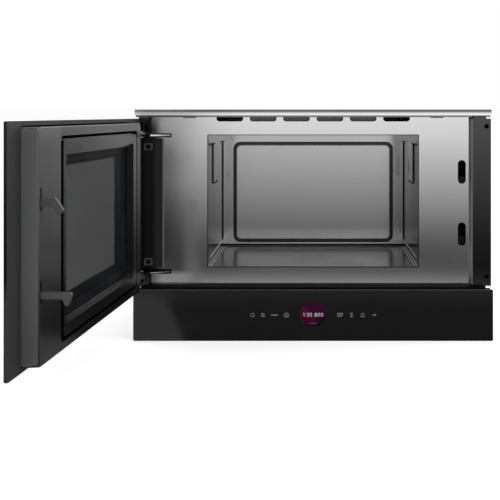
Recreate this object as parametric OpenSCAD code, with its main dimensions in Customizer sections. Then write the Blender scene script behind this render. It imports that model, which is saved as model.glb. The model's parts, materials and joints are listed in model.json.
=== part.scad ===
// Built-in microwave with a side-hinged glass door and a glass control panel below it.
// The origin lies on the underside of the housing, on the centre line, in the plane of
// the cabinet's front edges. X points right, Y into the cabinet and Z up.

/* [Front] */
// Width of the control panel and the top trim
front_w = 594; // [560:2:620]
// Height from the lower edge of the control panel to the top of the trim
front_h = 382; // [370:1:400]
// How far the glass stands in front of the cabinet
front_out = 20; // [19:0.5:24]
// Thickness of the door glass and the panel glass
glass_t = 4; // [3:0.5:5]
// Height of the control panel
panel_h = 84.6; // [83:0.2:86]
// How far the control panel hangs below the housing
panel_drop = 14; // [12:0.5:16]
// Gap between the control panel and the door glass
panel_gap = 3.7; // [3:0.1:5]
// Height of the top trim's face
trim_h = 9.8; // [9:0.2:11]
// Gap between the door glass and the top trim
trim_gap = 5.4; // [4:0.2:7]
// How far the top trim stands in front of the cabinet
trim_out = 6; // [4:0.5:9]
// How far the top edge of the trim's face leans forward
trim_bow = 0.32; // [0.2:0.02:0.6]
// Corner radius of the glass
glass_r = 2; // [1:0.5:4]

/* [Housing] */
// How far the casing's sides lie in from the sides of the front
casing_inset = 19; // [18:0.5:20]
// How far the casing's roof lies below the top trim
roof_drop = 1.2; // [1:0.1:2]
// Depth of the casing behind the cabinet's front edges
casing_d = 298; // [290:1:320]
// Thickness of the sheet metal
sheet_t = 1; // [0.8:0.1:1.2]
// How far the steel front plate lies behind the cabinet's front edges
tray_in = 6; // [5:0.5:8]
// Thickness of the black side flanges
flange_t = 1.5; // [1:0.1:2]
// Depth of the folds that carry the side flanges
fold_d = 12; // [10:0.5:14]
// Distance from one air slot below the top trim to the next
vent_pitch = 55.9; // [54:0.1:58]
// Width of the air slots below the top trim
vent_w = 44.8; // [42:0.1:47]
// Width of the right flange
flange_right_w = 31.3; // [31:0.1:32]
// Distance from the side of the front to the steel plate on the hinge side
flange_left_w = 23.3; // [23:0.1:24]
// Radius of the cabinet screw holes in the right flange
screw_hole_r = 4; // [3:0.25:4.5]
// Distance of the cabinet screw holes from the side of the front
screw_hole_side = 7.5; // [6:0.5:9]
// Distance of the cabinet screw holes from the flange's ends
screw_hole_end = 12.9; // [10:0.1:16]

/* [Cavity] */
// Distance from the casing's side to the cavity's wall
cavity_side = 101; // [99:0.5:104]
// Distance from the casing's roof to the cavity's roof
cavity_roof = 31; // [28:0.5:33]
// Distance from the rear panel's back to the cavity's back wall
cavity_rear = 23.5; // [22:0.5:28]
// Height of the cavity's sill above the underside of the housing
sill_z = 104; // [102:0.5:105]
// Thickness of the glass-ceramic floor
floor_t = 5; // [4:0.5:6]
// Radius of the round well below the floor
well_r = 94; // [88:1:94]
// Depth of the well below the floor tray
well_depth = 12; // [11:0.5:13]
// Width of the pressed groove in the back wall
groove_w = 6; // [5:0.5:8]
// Depth of the pressed groove in the back wall
groove_depth = 4; // [3:0.25:5]
// How far the air louvres stand into the cavity
louvre_out = 2.4; // [2:0.1:4]
// Depth of the air louvres from their open end to where they meet the wall
louvre_d = 92; // [84:2:96]
// Height of the air louvres
louvre_h = 68; // [60:1:75]
// Radius of the lamp's holes in the right wall
lamp_hole_r = 1.5; // [1:0.1:1.8]

/* [Door] */
// Angle at which the door stands open
open_deg = 93.4; // [90:0.1:93.4]
// Distance of the hinge axis behind the door glass
hinge_in = 4.6; // [4.4:0.1:5]
// Distance of the hinge axis from the side of the front
hinge_side = 11.8; // [11.2:0.1:12.2]
// How far the door glass reaches past the hinge axis
hinge_end = 8.8; // [8:0.1:9]
// Radius of the hinge pins
pin_r = 2.4; // [2:0.1:2.6]
// Radial running clearance of the hinge pins
pin_fit = 0.05; // [0.03:0.01:0.08]
// Thickness of the hinge plates
leaf_t = 3; // [2.5:0.25:3.5]
// Distance from the hinge axis to the inner door frame
frame_in = 66.8; // [64:0.1:70]
// Distance from the inner door frame to the free edge of the glass
frame_end = 41; // [39:0.5:41]
// Wall of the moulded door covers
moulding_t = 2.2; // [1.8:0.1:2.6]
// Width of the door frame from its free end to the seam round the choke cover
seam_free = 76.5; // [74:0.5:79]
// Width of the door frame from its hinge end to the seam
seam_hinge = 23; // [21:0.5:25]
// Height of the door frame below the seam
seam_low = 11.4; // [10:0.1:13]
// Height of the door frame above the seam
seam_top = 13.1; // [12:0.1:14]
// Width of the band between the seam and the window recess
band_w = 13.9; // [12:0.1:16]
// How much wider that band is on the hinge side
band_extra = 5.5; // [4:0.1:7]
// Depth of the window pane behind the cover's face
recess_depth = 10; // [9:0.1:12]

/* [Latch] */
// Thickness of the hooks and their bar
hook_t = 4.6; // [4:0.1:5]
// Distance of the hooks from the free edge of the door glass
hook_side = 47.8; // [47.4:0.1:48.4]
// How far the hooks lift
hook_lift = 7; // [5:0.5:8]
// Width of the latch slots in the front plate
latch_slot_w = 13.2; // [12.5:0.1:14]
// Height of the latch slots in the front plate
latch_slot_h = 39.6; // [39:0.1:41]
// Depth of the latch housing
latch_depth = 40; // [40:0.5:46]
// Height of the lower latch slot's centre above the lower edge of the door
latch_low_up = 84.6; // [80:0.1:90]
// Distance of the upper latch slot's centre from the upper edge of the door
latch_high_down = 89.5; // [85:0.1:95]

/* [Control panel] */
// Radius of the round display
display_r = 21.25; // [20:0.25:23]
// Height of the display's and the keys' centre above the panel's lower edge
display_up = 44; // [42:0.5:46]
// Distance of the first key from the display's centre
key_first = 44.3; // [42:0.1:46]
// Distance from one key to the next
key_pitch = 18.65; // [17:0.05:19]
// Number of keys on each side of the display
key_count = 4; // [2:1:5]

/* [Air and waves] */
// Distance of the fan's axis from the casing's side
fan_side = 127; // [124:0.5:130]
// Height of the fan's axis
fan_z = 50; // [48:0.5:50.5]
// Radius of the fan's blades
fan_r = 41; // [38:0.5:41.5]
// Number of fan blades
fan_blades = 7; // [5:1:9]
// Depth of the fan's frame
fan_depth = 25; // [23:0.5:28]
// Length of the magnetron's yoke
magnetron_w = 66; // [62:1:68]
// Depth of the magnetron's yoke
magnetron_d = 80; // [76:1:84]
// Height of the magnetron's yoke
magnetron_h = 78; // [74:1:80]
// Distance from the casing's side to the waveguide's end at the magnetron
magnetron_side = 177; // [170:1:180]
// Depth of the well's centre behind the cabinet's front edges
well_y = 140; // [136:1:144]
// Width of the waveguide
guide_w = 90; // [84:1:92]
// Number of cooling fins on the magnetron
fin_count = 6; // [4:1:8]
// Width of the inverter's board
inverter_w = 160; // [150:2:170]
// Depth of the inverter's board
inverter_d = 140; // [130:2:150]
// Height of the inverter's heat sink
sink_h = 44; // [36:1:50]
// Number of the inverter heat sink's fins
sink_fins = 9; // [6:1:10]
// Width of the mains filter's board
filter_w = 84; // [80:1:90]
// Depth of the mains filter's board
filter_d = 56; // [50:1:60]
// Height of the boards above the underside of the housing
board_up = 14; // [10:1:16]

/* [Hidden] */
$fn = 48;
eps = 0.01;

// Front planes and heights
glass_y = -front_out;
glass_back = glass_y + glass_t;
panel_z0 = -panel_drop;
panel_z1 = panel_z0 + panel_h;
top_z = front_h - panel_drop;
trim_z = top_z - trim_h;
door_z0 = panel_z1 + panel_gap;
door_z1 = trim_z - trim_gap;
half_w = front_w / 2;
half_casing = half_w - casing_inset;
side_in = half_casing - sheet_t;
casing_h = trim_z - roof_drop;
flange_right_x = half_w - flange_right_w;
flange_left_x = half_w - flange_left_w;
screw_hole_x = half_w - screw_hole_side;

// Front plate and the recess that it forms
plate_back = tray_in + sheet_t;
plate_top = trim_z + 0.8;
plate_x0 = -flange_left_x + sheet_t;
plate_x1 = flange_right_x - 4.9;
lip_z = trim_z - 2.9;

// Cavity
half_cavity = half_casing - cavity_side;
cavity_back_y = casing_d - cavity_rear;
cavity_top = casing_h - cavity_roof;
opening_x = half_cavity - 0.7;
opening_top = cavity_top - 0.2;
tray_floor_z = sill_z - floor_t - 1;
well_z = tray_floor_z - well_depth;

// Hinges, measured with the door closed
axis_x = hinge_side - half_w;
axis_y = glass_back + hinge_in;
arm_z = [notch_z0() - 8.8, notch_z1() + 3.5];
washer_t = 0.5;
hinge_slot_x0 = plate_x0 + 0.8;
hinge_slot_x1 = hinge_slot_x0 + 34.4;
function notch_z0() = door_z0 + 30.1;
function notch_z1() = door_z1 - 33.2;
notch_x = plate_x0 + 19.9;

// Door, measured closed
door_x0 = axis_x - hinge_end;
door_x1 = half_w;
frame_x0 = axis_x + frame_in;
frame_x1 = door_x1 - frame_end;
frame_z0 = door_z0 + 4.2;
frame_z1 = door_z1 - 5.3;
frame_y = tray_in - 2;
seam_x0 = frame_x0 + seam_hinge;
seam_x1 = frame_x1 - seam_free;
seam_z0 = frame_z0 + seam_low;
seam_z1 = frame_z1 - seam_top;
seam_w = 5.5;
rim_inset = seam_w + band_w;
pane_y = frame_y - recess_depth;
pane_t = 2;
screen_t = 0.8;

// Control panel
display_z = panel_z0 + display_up;
carrier_back = -2;
board_y = glass_back + 6;
board_half = key_first + (key_count - 1) * key_pitch + 39.75;

// Latch, with the door closed
hook_x = door_x1 - hook_side;
latch_low_z = door_z0 + latch_low_up;
latch_high_z = door_z1 - latch_high_down;
latch_mid_z = (latch_low_z + latch_high_z) / 2;
hook_low_z = latch_low_z + 0.6;
hook_high_z = latch_high_z - 0.9;

// Shared shapes

// Box from its lowest to its highest corner
module block(x0, x1, y0, y1, z0, z1) {
  translate([x0, y0, z0]) cube([x1 - x0, y1 - y0, z1 - z0]);
}

// Rectangle with round corners, all of one radius
module round_rect(x0, x1, y0, y1, r) {
  translate([x0 + r, y0]) square([x1 - x0 - 2 * r, y1 - y0]);
  translate([x0, y0 + r]) square([x1 - x0, y1 - y0 - 2 * r]);
  for (x = [x0 + r, x1 - r], y = [y0 + r, y1 - r]) translate([x, y]) circle(r);
}

// Raises a drawing of the front, in X and Z, between two depths
module front_extrude(y0, y1) {
  translate([0, y1, 0]) rotate([90, 0, 0]) linear_extrude(y1 - y0) children();
}

// Raises a profile in Y and Z along X
module side_extrude(x0, x1) {
  translate([x0, 0, 0]) rotate([90, 0, 90]) linear_extrude(x1 - x0) children();
}

// Upright plate with round corners
module front_block(x0, x1, z0, z1, y0, y1, r) {
  front_extrude(y0, y1) round_rect(x0, x1, z0, z1, r);
}

// Upright frame between two rounded rectangles, inset by a and b from the seam
module seam_ring(a, b, y0, y1, r = 8) {
  front_extrude(y0, y1) difference() {
    seam_rect(a, r);
    seam_rect(b, r);
  }
}

// The door's seam, shrunk by a distance, with its corners kept concentric
module seam_rect(inset, r = 8) {
  extra = inset < band_w ? 0 : band_extra;
  round_rect(seam_x0 + inset + extra, seam_x1 - inset, seam_z0 + inset, seam_z1 - inset,
    max(r - inset / 2, 2));
}

// Slot with round ends, in the plane of the drawing
module obround(cx, cy, w, h) {
  r = min(w, h) / 2;
  round_rect(cx - w / 2, cx + w / 2, cy - h / 2, cy + h / 2, r - eps);
}

// Turns a closed door into its open place
module opened() {
  translate([axis_x, axis_y, 0]) rotate([0, 0, -open_deg]) translate([-axis_x, -axis_y, 0])
    children();
}

// Cylinder along Y
module rod_y(x, z, y0, y1, r) {
  translate([x, y1, z]) rotate([90, 0, 0]) cylinder(r = r, h = y1 - y0);
}

// Cylinder along X
module rod_x(y, z, x0, x1, r) {
  translate([x0, y, z]) rotate([0, 90, 0]) cylinder(r = r, h = x1 - x0);
}

// Front of the housing

// Folded steel strip above the door, with a hollow face and a lip over the tops of the vents
function trim_face(f) = [-trim_out - trim_bow * f * f, trim_z + trim_h * f];

module top_trim() {
  color("silver") side_extrude(-half_w, half_w) {
    polygon(concat([for (i = [0:8]) trim_face(i / 8)],
      [for (i = [8:-1:0]) trim_face(i / 8) + [1, 0]]));
    translate([-trim_out, top_z - 1]) square([trim_out - 0.5, 1]);
    translate([-trim_out + eps, plate_top]) square([trim_out + plate_back + 1, 1]);
    translate([tray_in - 1, lip_z]) square([1, plate_top - lip_z + 1 - eps]);
  }
}

// Openings of the front plate: cavity, vents, latch slots and hinge slots
module plate_openings() {
  round_rect(-opening_x, opening_x, sill_z, opening_top, 1);
  for (i = [-2.5:2.5]) obround(i * vent_pitch, lip_z - 2.3, vent_w, 10);
  for (s = [-1, 1]) translate([s * (plate_x1 - 53.4) - 11, lip_z - 1.2]) square([22, 3]);
  for (z = [latch_low_z, latch_high_z]) obround(hook_x, z, latch_slot_w, latch_slot_h);
  for (z = arm_z)
    translate([hinge_slot_x0, z - 1.7]) square([hinge_slot_x1 - hinge_slot_x0, leaf_t + 3.4]);
  translate([plate_x0 - 5, notch_z0()]) square([notch_x - plate_x0 + 5, notch_z1() - notch_z0()]);
}

// Polished steel plate that closes the front round the cavity
module front_plate() {
  color("lightgray") {
    front_extrude(tray_in, plate_back) difference() {
      union() {
        round_rect(plate_x0, plate_x0 + 40, door_z0, lip_z + 1, 8);
        translate([plate_x0 + 20, door_z0]) square([plate_x1 - plate_x0 - 20, plate_top - door_z0]);
      }
      plate_openings();
    }
    // Sloping side that rises to the right flange
    translate([0, 0, door_z0 + 1.5]) linear_extrude(door_z1 - door_z0 - 1.5)
      polygon([[plate_x1 - 1, plate_back], [plate_x1 - 1, tray_in], [plate_x1, tray_in],
        [flange_right_x - 1, -flange_t], [flange_right_x, -flange_t], [plate_x1 + 1, plate_back]]);
    // Fold along the hinge cover
    translate([0, 0, notch_z0()]) linear_extrude(notch_z1() - notch_z0())
      polygon([[notch_x, plate_back], [notch_x, tray_in - 1.5], [notch_x + 1, tray_in - 1.5],
        [notch_x + 3, tray_in + eps], [notch_x + 3, plate_back]]);
    // Left side wall, above and below the hinge cover
    for (z = [[door_z0 + 8, notch_z0() - 2], [notch_z1() + 2, lip_z - 7]])
      block(plate_x0 - sheet_t, plate_x0 + eps, -flange_t, plate_back, z[0], z[1]);
  }
}

// Black flange that covers the cabinet's edge on the right, with its two screw holes
module side_flange_right() {
  color("#161718") difference() {
    union() {
      front_block(flange_right_x, half_w, door_z0 - 0.8, door_z1, -flange_t, 0, 1);
      block(half_casing - flange_t, half_casing, -eps, fold_d, door_z0 + 1.5, door_z1);
      // Tab that closes the gap below the trim
      block(flange_right_x + 2, half_w - 8, -flange_t / 2, 0, door_z1 - 1, trim_z - 0.6);
    }
    for (z = [door_z0 + 1.5 + screw_hole_end, door_z1 - screw_hole_end])
      rod_y(screw_hole_x, z, -5, 5, screw_hole_r);
  }
}

// Black flange on the hinge side, cut back where the open door swings behind it
module side_flange_left() {
  color("#161718") difference() {
    union() {
      front_block(-half_w + 5.8, -flange_left_x, door_z0 - 0.8, lip_z, -flange_t, 0, 1);
      block(-half_casing, -half_casing + flange_t, -eps, fold_d, door_z0 + 1.5, lip_z - 1.5);
    }
    block(-flange_left_x - 9, 0, -5, fold_d + 5, notch_z0() - eps, notch_z1() + eps);
  }
}

// Moulded black cover between the two hinges, stepped, with two screw bosses
module hinge_cover() {
  x0 = -flange_left_x - 8.9;
  boss_x = -flange_left_x - 1;
  color("#1b1c1d") difference() {
    union() {
      translate([0, 0, notch_z0()]) linear_extrude(notch_z1() - notch_z0())
        polygon([[x0, 0], [x0, -4.5], [x0 + 4.6, -4.5], [x0 + 5.6, -3.4], [x0 + 7.9, -3.4],
          [x0 + 8.9, -2], [x0 + 15.7, -2], [notch_x - 6, 3], [notch_x, 4.5], [notch_x, plate_back],
          [notch_x - 2, plate_back], [notch_x - 3, 6], [x0 + 16, 2], [x0 + 3, 0.5], [x0 + 3, 0]]);
      for (z = [notch_z0() + 9.8, notch_z1() - 13.8])
        front_block(boss_x - 6.7, boss_x + 6.8, z - 5.7, z + 5.7, -4.5, 3, 1);
    }
    for (z = [notch_z0() + 9.8, notch_z1() - 13.8]) rod_y(boss_x, z, -5, plate_back + 1, 3.5);
  }
}

// Steel arm fixed behind the front plate, which reaches out through its slot to the pin
module hinge_bracket(z, side) {
  color("gainsboro") difference() {
    union() {
      translate([0, 0, z]) linear_extrude(leaf_t) {
        polygon([[hinge_slot_x1 - 1.7, plate_back + 25], [hinge_slot_x1 - 1.7, tray_in],
          [axis_x + 1.5, axis_y - pin_r - 1.5], [axis_x - 0.4, axis_y + pin_r + 1.7],
          [hinge_slot_x0 + 1.5, -flange_t - 1.5], [hinge_slot_x0 + 1.5, plate_back + 25]]);
        translate([axis_x, axis_y]) circle(pin_r + 1.8);
      }
      // Foot that is riveted to the back of the front plate
      translate([hinge_slot_x0 + 1.5, plate_back, z + (side > 0 ? leaf_t / 2 : -24)])
        cube([31, leaf_t, 24 + leaf_t / 2]);
    }
    translate([axis_x, axis_y, z - 1]) cylinder(r = pin_r + pin_fit, h = leaf_t + 2);
  }
}

module hinge_bracket_upper() { hinge_bracket(arm_z[1], 1); }

module hinge_bracket_lower() { hinge_bracket(arm_z[0], -1); }

// Casing

// Rows of upright slots for cooling air, in the plane of the drawing
module vent_rows(cx, cy, columns, rows) {
  for (i = [0:columns - 1], j = [0:rows - 1])
    obround(cx + (i - (columns - 1) / 2) * 7, cy + (j - (rows - 1) / 2) * 26, 3, 20);
}

// Galvanised roof and sides, with stiffening beads and cooling slots
module outer_casing() {
  roof_in = casing_h - sheet_t;
  color("#b9bcbc") difference() {
    union() {
      difference() {
        block(-half_casing, half_casing, plate_back, casing_d, sheet_t, casing_h);
        block(-side_in, side_in, 0, casing_d + 1, 0, roof_in);
        for (s = [-1, 1])
          block(s * half_casing - 2, s * half_casing + 2, 0, fold_d, 0, roof_in - 1);
      }
      // Beads pressed into the roof and the sides
      for (x = [-150, 0, 150]) block(x - 6, x + 6, 60, casing_d - 58, roof_in - 1, roof_in + eps);
      for (s = [-1, 1], z = [120, casing_h - 107])
        block(s * side_in - (s > 0 ? 1 : 0), s * side_in + (s > 0 ? 0 : 1), 50, casing_d - 48, z - 5, z + 5);
    }
    translate([0, 0, roof_in - 2]) linear_extrude(5) {
      for (x = [-75, 75]) vent_rows(x, casing_d - 48, 9, 1);
    }
    for (x = [-half_casing - 1, side_in - 2]) side_extrude(x, x + 4) vent_rows(casing_d - 53, casing_h - 172, 6, 3);
  }
}

// Galvanised tray that carries the power parts and rests on the cabinet's shelf
module base_plate() {
  color("#aeb1b1") {
    block(-side_in, side_in, -2, casing_d - sheet_t, 0, sheet_t);
    for (s = [-1, 1])
      block(s > 0 ? side_in - sheet_t : -side_in, s > 0 ? side_in : -side_in + sheet_t,
        14, casing_d - sheet_t, eps, 14);
    // Stand-offs of the inverter board and the mains filter
    for (x = [board_x0 + 6, board_x1 - 6], y = [board_y0 + 6, board_y1 - 6])
      translate([x, y, eps]) cylinder(r = 4, h = board_up);
    for (x = [filter_x0 + 6, filter_x0 + filter_w - 6], y = [filter_y1 - filter_d + 6, filter_y1 - 6])
      translate([x, y, eps]) cylinder(r = 4, h = board_up);
  }
}

// Guard openings in front of the fan, as rings broken by spokes
module fan_guard() {
  difference() {
    for (k = [1:4]) difference() {
      circle(fan_r * (k + 0.35) / 4.4);
      circle(fan_r * (k - 0.3) / 4.4);
    }
    for (a = [45:90:180]) rotate(a) square([2 * fan_r + 10, 3], center = true);
  }
}

// Galvanised rear panel with the fan's guard, an outlet grille and the inlet's opening
module rear_panel() {
  color("#b4b7b7") front_extrude(casing_d - sheet_t, casing_d) difference() {
    translate([-side_in, 0]) square([2 * side_in, casing_h - sheet_t]);
    translate([fan_x, fan_z]) fan_guard();
    for (x = [87 - side_in, side_in - 87]) vent_rows(x, casing_h - 87, 14, 3);
    translate([inlet_x - 14, inlet_z - 10.5]) square([28, 21]);
    for (p = screw_places()) translate(p) circle(1.7);
  }
}
function screw_places() = [for (x = [9 - side_in, 0, side_in - 9], z = [8, casing_h - 9]) [x, z],
  for (x = [9 - side_in, side_in - 9]) [x, (casing_h + 3) / 2]];

// Sheet-metal wall behind the control panel, folded back to the front plate
module front_crossbar() {
  color("#1b1c1d") {
    block(9 - half_w, half_w - 9, -1, 0, sheet_t, door_z0 - 1);
    block(1 - flange_left_x, flange_right_x - 1, -1, plate_back, door_z0 - 2, door_z0);
  }
}

// Pan-head screws that hold the rear panel
module casing_screws() {
  color("#8d9091") for (p = screw_places()) difference() {
    union() {
      rod_y(p[0], p[1], casing_d - 1 - sheet_t, casing_d, 1.6);
      rod_y(p[0], p[1], casing_d - sheet_t - 4, casing_d - sheet_t - eps, 2.6);
    }
    block(p[0] - 0.4, p[0] + 0.4, casing_d - 0.8, casing_d + 1, p[1] - 1.2, p[1] + 1.2);
  }
}

// Cavity

// Air louvre on the right side wall: a slanted hood, open towards the front
module louvre() {
  x = half_cavity;
  z1 = cavity_top - 18.5;
  t = 0.8;
  translate([0, 0, z1 - louvre_h]) linear_extrude(louvre_h)
    polygon([[x - louvre_out, louvre_y0], [x - louvre_out + t, louvre_y0],
      [x + t, louvre_y1], [x, louvre_y1]]);
  for (z = [z1 - louvre_h, z1 - t]) translate([0, 0, z]) linear_extrude(t)
    polygon([[x - louvre_out, louvre_y0], [x + 0.5, louvre_y0 - 3], [x + 0.5, louvre_y1], [x, louvre_y1]]);
}
louvre_y0 = plate_back + 82;
louvre_y1 = louvre_y0 + louvre_d;

// Steel roof and side walls of the cavity, with an air louvre on each side
module cavity_wrap() {
  out_x = half_cavity + sheet_t;
  z1 = cavity_top - 18.5;
  color("silver") difference() {
    union() {
      difference() {
        block(-out_x, out_x, plate_back, cavity_back_y, tray_floor_z - 1, cavity_top + sheet_t);
        block(-half_cavity, half_cavity, plate_back - 1, cavity_back_y + 1, 0, cavity_top);
        block(-out_x - 1, out_x + 1, louvre_y0 + 2, louvre_y1 - 36, z1 - louvre_h + 2, z1 - 2);
      }
      for (s = [0, 1]) mirror([s, 0, 0]) louvre();
      // Welding flanges on the front plate
      for (s = [-1, 1]) block(s > 0 ? out_x - eps : -out_x - 10, s > 0 ? out_x + 10 : -out_x + eps,
        plate_back, plate_back + sheet_t, sill_z, cavity_top);
    }
    for (i = [-2.5:2.5], j = [-4:4])
      rod_x(lamp_y + j * 5, lamp_z + i * 4.2, half_cavity - 4, half_cavity + 4, lamp_hole_r);
  }
}
lamp_y = plate_back + 163;
lamp_z = cavity_top - 63;

// Steel back wall with the pressed rounded groove
module cavity_back_wall() {
  gx = half_cavity - 22.3;
  gz0 = sill_z + 7;
  gz1 = cavity_top - 21;
  color("silver") difference() {
    union() {
      block(-half_cavity - sheet_t, half_cavity + sheet_t, cavity_back_y, cavity_back_y + sheet_t,
        tray_floor_z - 1, cavity_top + sheet_t);
      front_block(-gx - 1, gx + 1, gz0 - 1, gz1 + 1, cavity_back_y, cavity_back_y + groove_depth + 1, 15);
    }
    front_extrude(cavity_back_y - 1, cavity_back_y + groove_depth) difference() {
      round_rect(-gx, gx, gz0, gz1, 14);
      round_rect(-gx + groove_w, gx - groove_w, gz0 + groove_w, gz1 - groove_w, 14 - groove_w);
    }
    front_block(-gx + groove_w + 2, gx - groove_w - 2, gz0 + groove_w + 2, gz1 - groove_w - 2,
      cavity_back_y + sheet_t, cavity_back_y + 10, 6);
  }
}

// Pressed floor tray with a round well for the rotating antenna
module cavity_floor() {
  x = half_cavity;
  color("silver") difference() {
    union() {
      block(-x, x, plate_back, cavity_back_y, tray_floor_z - 1, sill_z);
      translate([0, well_y, well_z - 1]) cylinder(r = well_r + 1, h = well_depth + 1, $fn = 96);
    }
    block(-x + 1.2, x - 1.2, plate_back + 1.2, cavity_back_y - 1.2, tray_floor_z, sill_z + 1);
    translate([0, well_y, well_z]) cylinder(r = well_r, h = well_depth + 5, $fn = 96);
    translate([0, well_y, well_z - 5]) cylinder(r = coupling_r, h = 10);
  }
}
coupling_r = 20;

// Glass-ceramic plate that forms the smooth cavity floor
module floor_plate() {
  color("#1d2022") translate([0, 0, sill_z - floor_t - 0.4]) linear_extrude(floor_t)
    round_rect(-half_cavity + 7, half_cavity - 7, plate_back + 7, cavity_back_y - 7, 6);
}

// Silicone ring round the floor plate
module floor_seal() {
  color("#2b2d2e") translate([0, 0, tray_floor_z]) linear_extrude(floor_t) difference() {
    round_rect(-half_cavity + 1.3, half_cavity - 1.3, plate_back + 1.3, cavity_back_y - 1.3, 2);
    round_rect(-half_cavity + 7, half_cavity - 7, plate_back + 7, cavity_back_y - 7, 6);
  }
  color("#2b2d2e") translate([0, 0, tray_floor_z]) linear_extrude(0.6) difference() {
    round_rect(-half_cavity + 6, half_cavity - 6, plate_back + 6, cavity_back_y - 6, 6);
    round_rect(-half_cavity + 12, half_cavity - 12, plate_back + 12, cavity_back_y - 12, 6);
  }
}

// Lamp module on the outside of the perforated wall
module cavity_lamp() {
  x = half_cavity + sheet_t;
  color("ivory") {
    block(x, x + 3, lamp_y - 22, lamp_y + 22, lamp_z - 15, lamp_z + 15);
    rod_x(lamp_y, lamp_z, x + 3 - eps, x + 16, 11);
    for (k = [0:3]) rod_x(lamp_y, lamp_z, x + 5 + 3 * k, x + 6.2 + 3 * k, 13);
  }
}

// Overheat cut-out on the cavity roof
module thermal_cutout() {
  color("#3a3a3c") translate([half_cavity - 63, cavity_back_y - 74.5, cavity_top + sheet_t]) {
    block(-14, 14, -4, 4, 0, 0.8);
    cylinder(r = 8, h = 9);
    for (x = [-5, 5]) block(x - 3, x + 3, -0.4, 0.4, 9 - eps, 17);
  }
}

// Sheet channel that leads warm air over the cavity to the slots below the trim
module exhaust_guide() {
  z0 = cavity_top + sheet_t;
  x = half_cavity - 11;
  color("#a4a7a8") for (s = [0, 1]) mirror([s, 0, 0]) {
    block(x, x + sheet_t, plate_back, cavity_back_y - 4.5, z0, casing_h - sheet_t - 1);
    block(x + sheet_t - eps, x + 8, plate_back, cavity_back_y - 4.5, z0, z0 + sheet_t);
  }
}

// Microwave source and its path

guide_z0 = 10;
guide_z1 = well_z - 1;
guide_duct_z = guide_z1 - 30;
guide_x0 = -48;
guide_x1 = side_in - magnetron_side;

// Outline of the waveguide in X and Z, shrunk by its wall
module guide_outline(t) {
  polygon([[guide_x0 + t, guide_z1 - t], [guide_x1 - t, guide_z1 - t], [guide_x1 - t, guide_z0 + t],
    [guide_x1 - 36 + t, guide_z0 + t], [guide_x1 - 36 + t, guide_duct_z + t], [guide_x0 + t, guide_duct_z + t]]);
}

// Folded duct that leads the waves from the magnetron to the well
module waveguide() {
  y0 = well_y - guide_w / 2;
  color("#c2c4c4") difference() {
    front_extrude(y0, y0 + guide_w) guide_outline(0);
    front_extrude(y0 + 1, y0 + guide_w - 1) guide_outline(1);
    translate([0, well_y, guide_z1 - 5]) cylinder(r = coupling_r, h = 10);
    translate([0, well_y, guide_duct_z - 5]) cylinder(r = 6, h = 10);
    rod_x(well_y, mag_z, guide_x1 - 5, guide_x1 + 5, 13);
  }
}
mag_z = 50;

// Small geared motor that turns the antenna, hung below the waveguide
module antenna_motor() {
  color("#d8d2c0") difference() {
    union() {
      translate([0, well_y, guide_duct_z - 26]) cylinder(r = 24, h = 16);
      translate([0, well_y, guide_duct_z - 12]) cylinder(r = 9, h = 6);
      block(-34, 34, well_y - 6, well_y + 6, guide_duct_z - 12, guide_duct_z - 10);
      for (x = [-30, 30]) translate([x, well_y, guide_duct_z - 12]) cylinder(r = 4, h = 12);
    }
    translate([0, well_y, guide_duct_z - 16]) cylinder(r = 3 + pin_fit, h = 20);
  }
}

// Coupling disc on an upright shaft, below the glass-ceramic floor
module rotating_antenna() {
  z = well_z + 4;
  color("#c9cbcb") {
    translate([0, well_y, guide_duct_z - 15]) cylinder(r = 3, h = z - guide_duct_z + 15 + eps);
    translate([0, well_y, z]) linear_extrude(1.2) difference() {
      union() {
        circle(34);
        translate([0, -22]) square([74, 44]);
        translate([-46, -14]) square([40, 28]);
      }
      for (x = [44, 56]) translate([x, -15]) square([5, 30]);
      translate([-38, -8]) square([5, 16]);
    }
    translate([0, well_y, z + 1.2 - eps]) cylinder(r = 9, h = 3);
  }
}

mag_x0 = guide_x1 + 1.5;
mag_x1 = mag_x0 + magnetron_w;
mag_y = magnetron_d / 2;
mag_half = magnetron_h / 2;

// Steel yoke round the magnetron
module magnetron_frame() {
  color("#b7babb") difference() {
    block(mag_x0, mag_x1, well_y - mag_y, well_y + mag_y, mag_z - mag_half, mag_z + mag_half);
    block(mag_x0 + 2, mag_x1 - 2, well_y - mag_y - 1, well_y + mag_y + 1, mag_z - mag_half + 2,
      mag_z + mag_half - 2);
    rod_x(well_y, mag_z, mag_x0 - 1, mag_x0 + 3, 14);
    rod_x(well_y, mag_z, mag_x1 - 3, mag_x1 + 1, 14);
  }
}

// Anode cylinder with its stack of cooling fins
module magnetron_anode() {
  x0 = mag_x0 + 15;
  x1 = mag_x1 - 15;
  pitch = (x1 - x0 - 8) / (fin_count - 1);
  color("#c8b48a") {
    rod_x(well_y, mag_z, x0, x1, 19);
    for (k = [0:fin_count - 1])
      block(x0 + 4 + k * pitch - 0.4, x0 + 4 + k * pitch + 0.4, well_y - mag_y + 2,
        well_y + mag_y - 2, mag_z - mag_half + 2.1, mag_z + mag_half - 2.1);
  }
}

// Ring magnet at each end of the anode
module magnetron_magnets() {
  color("#2e2f31") for (x = [mag_x0 + 2, mag_x1 - 15]) difference() {
    rod_x(well_y, mag_z, x, x + 13, 27);
    rod_x(well_y, mag_z, x - 1, x + 14, 13);
  }
}

// Ceramic ring and steel cap that reach into the waveguide, with the gasket behind them
module magnetron_antenna() {
  color("#e8e4da") {
    difference() {
      rod_x(well_y, mag_z, guide_x1, mag_x0, 18);
      rod_x(well_y, mag_z, guide_x1 - 1, mag_x0 + 1, 12);
    }
    rod_x(well_y, mag_z, guide_x1 - 12, mag_x0 + 15, 10);
    rod_x(well_y, mag_z, guide_x1 - 26, guide_x1 - 12 + eps, 7.5);
  }
}

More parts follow.
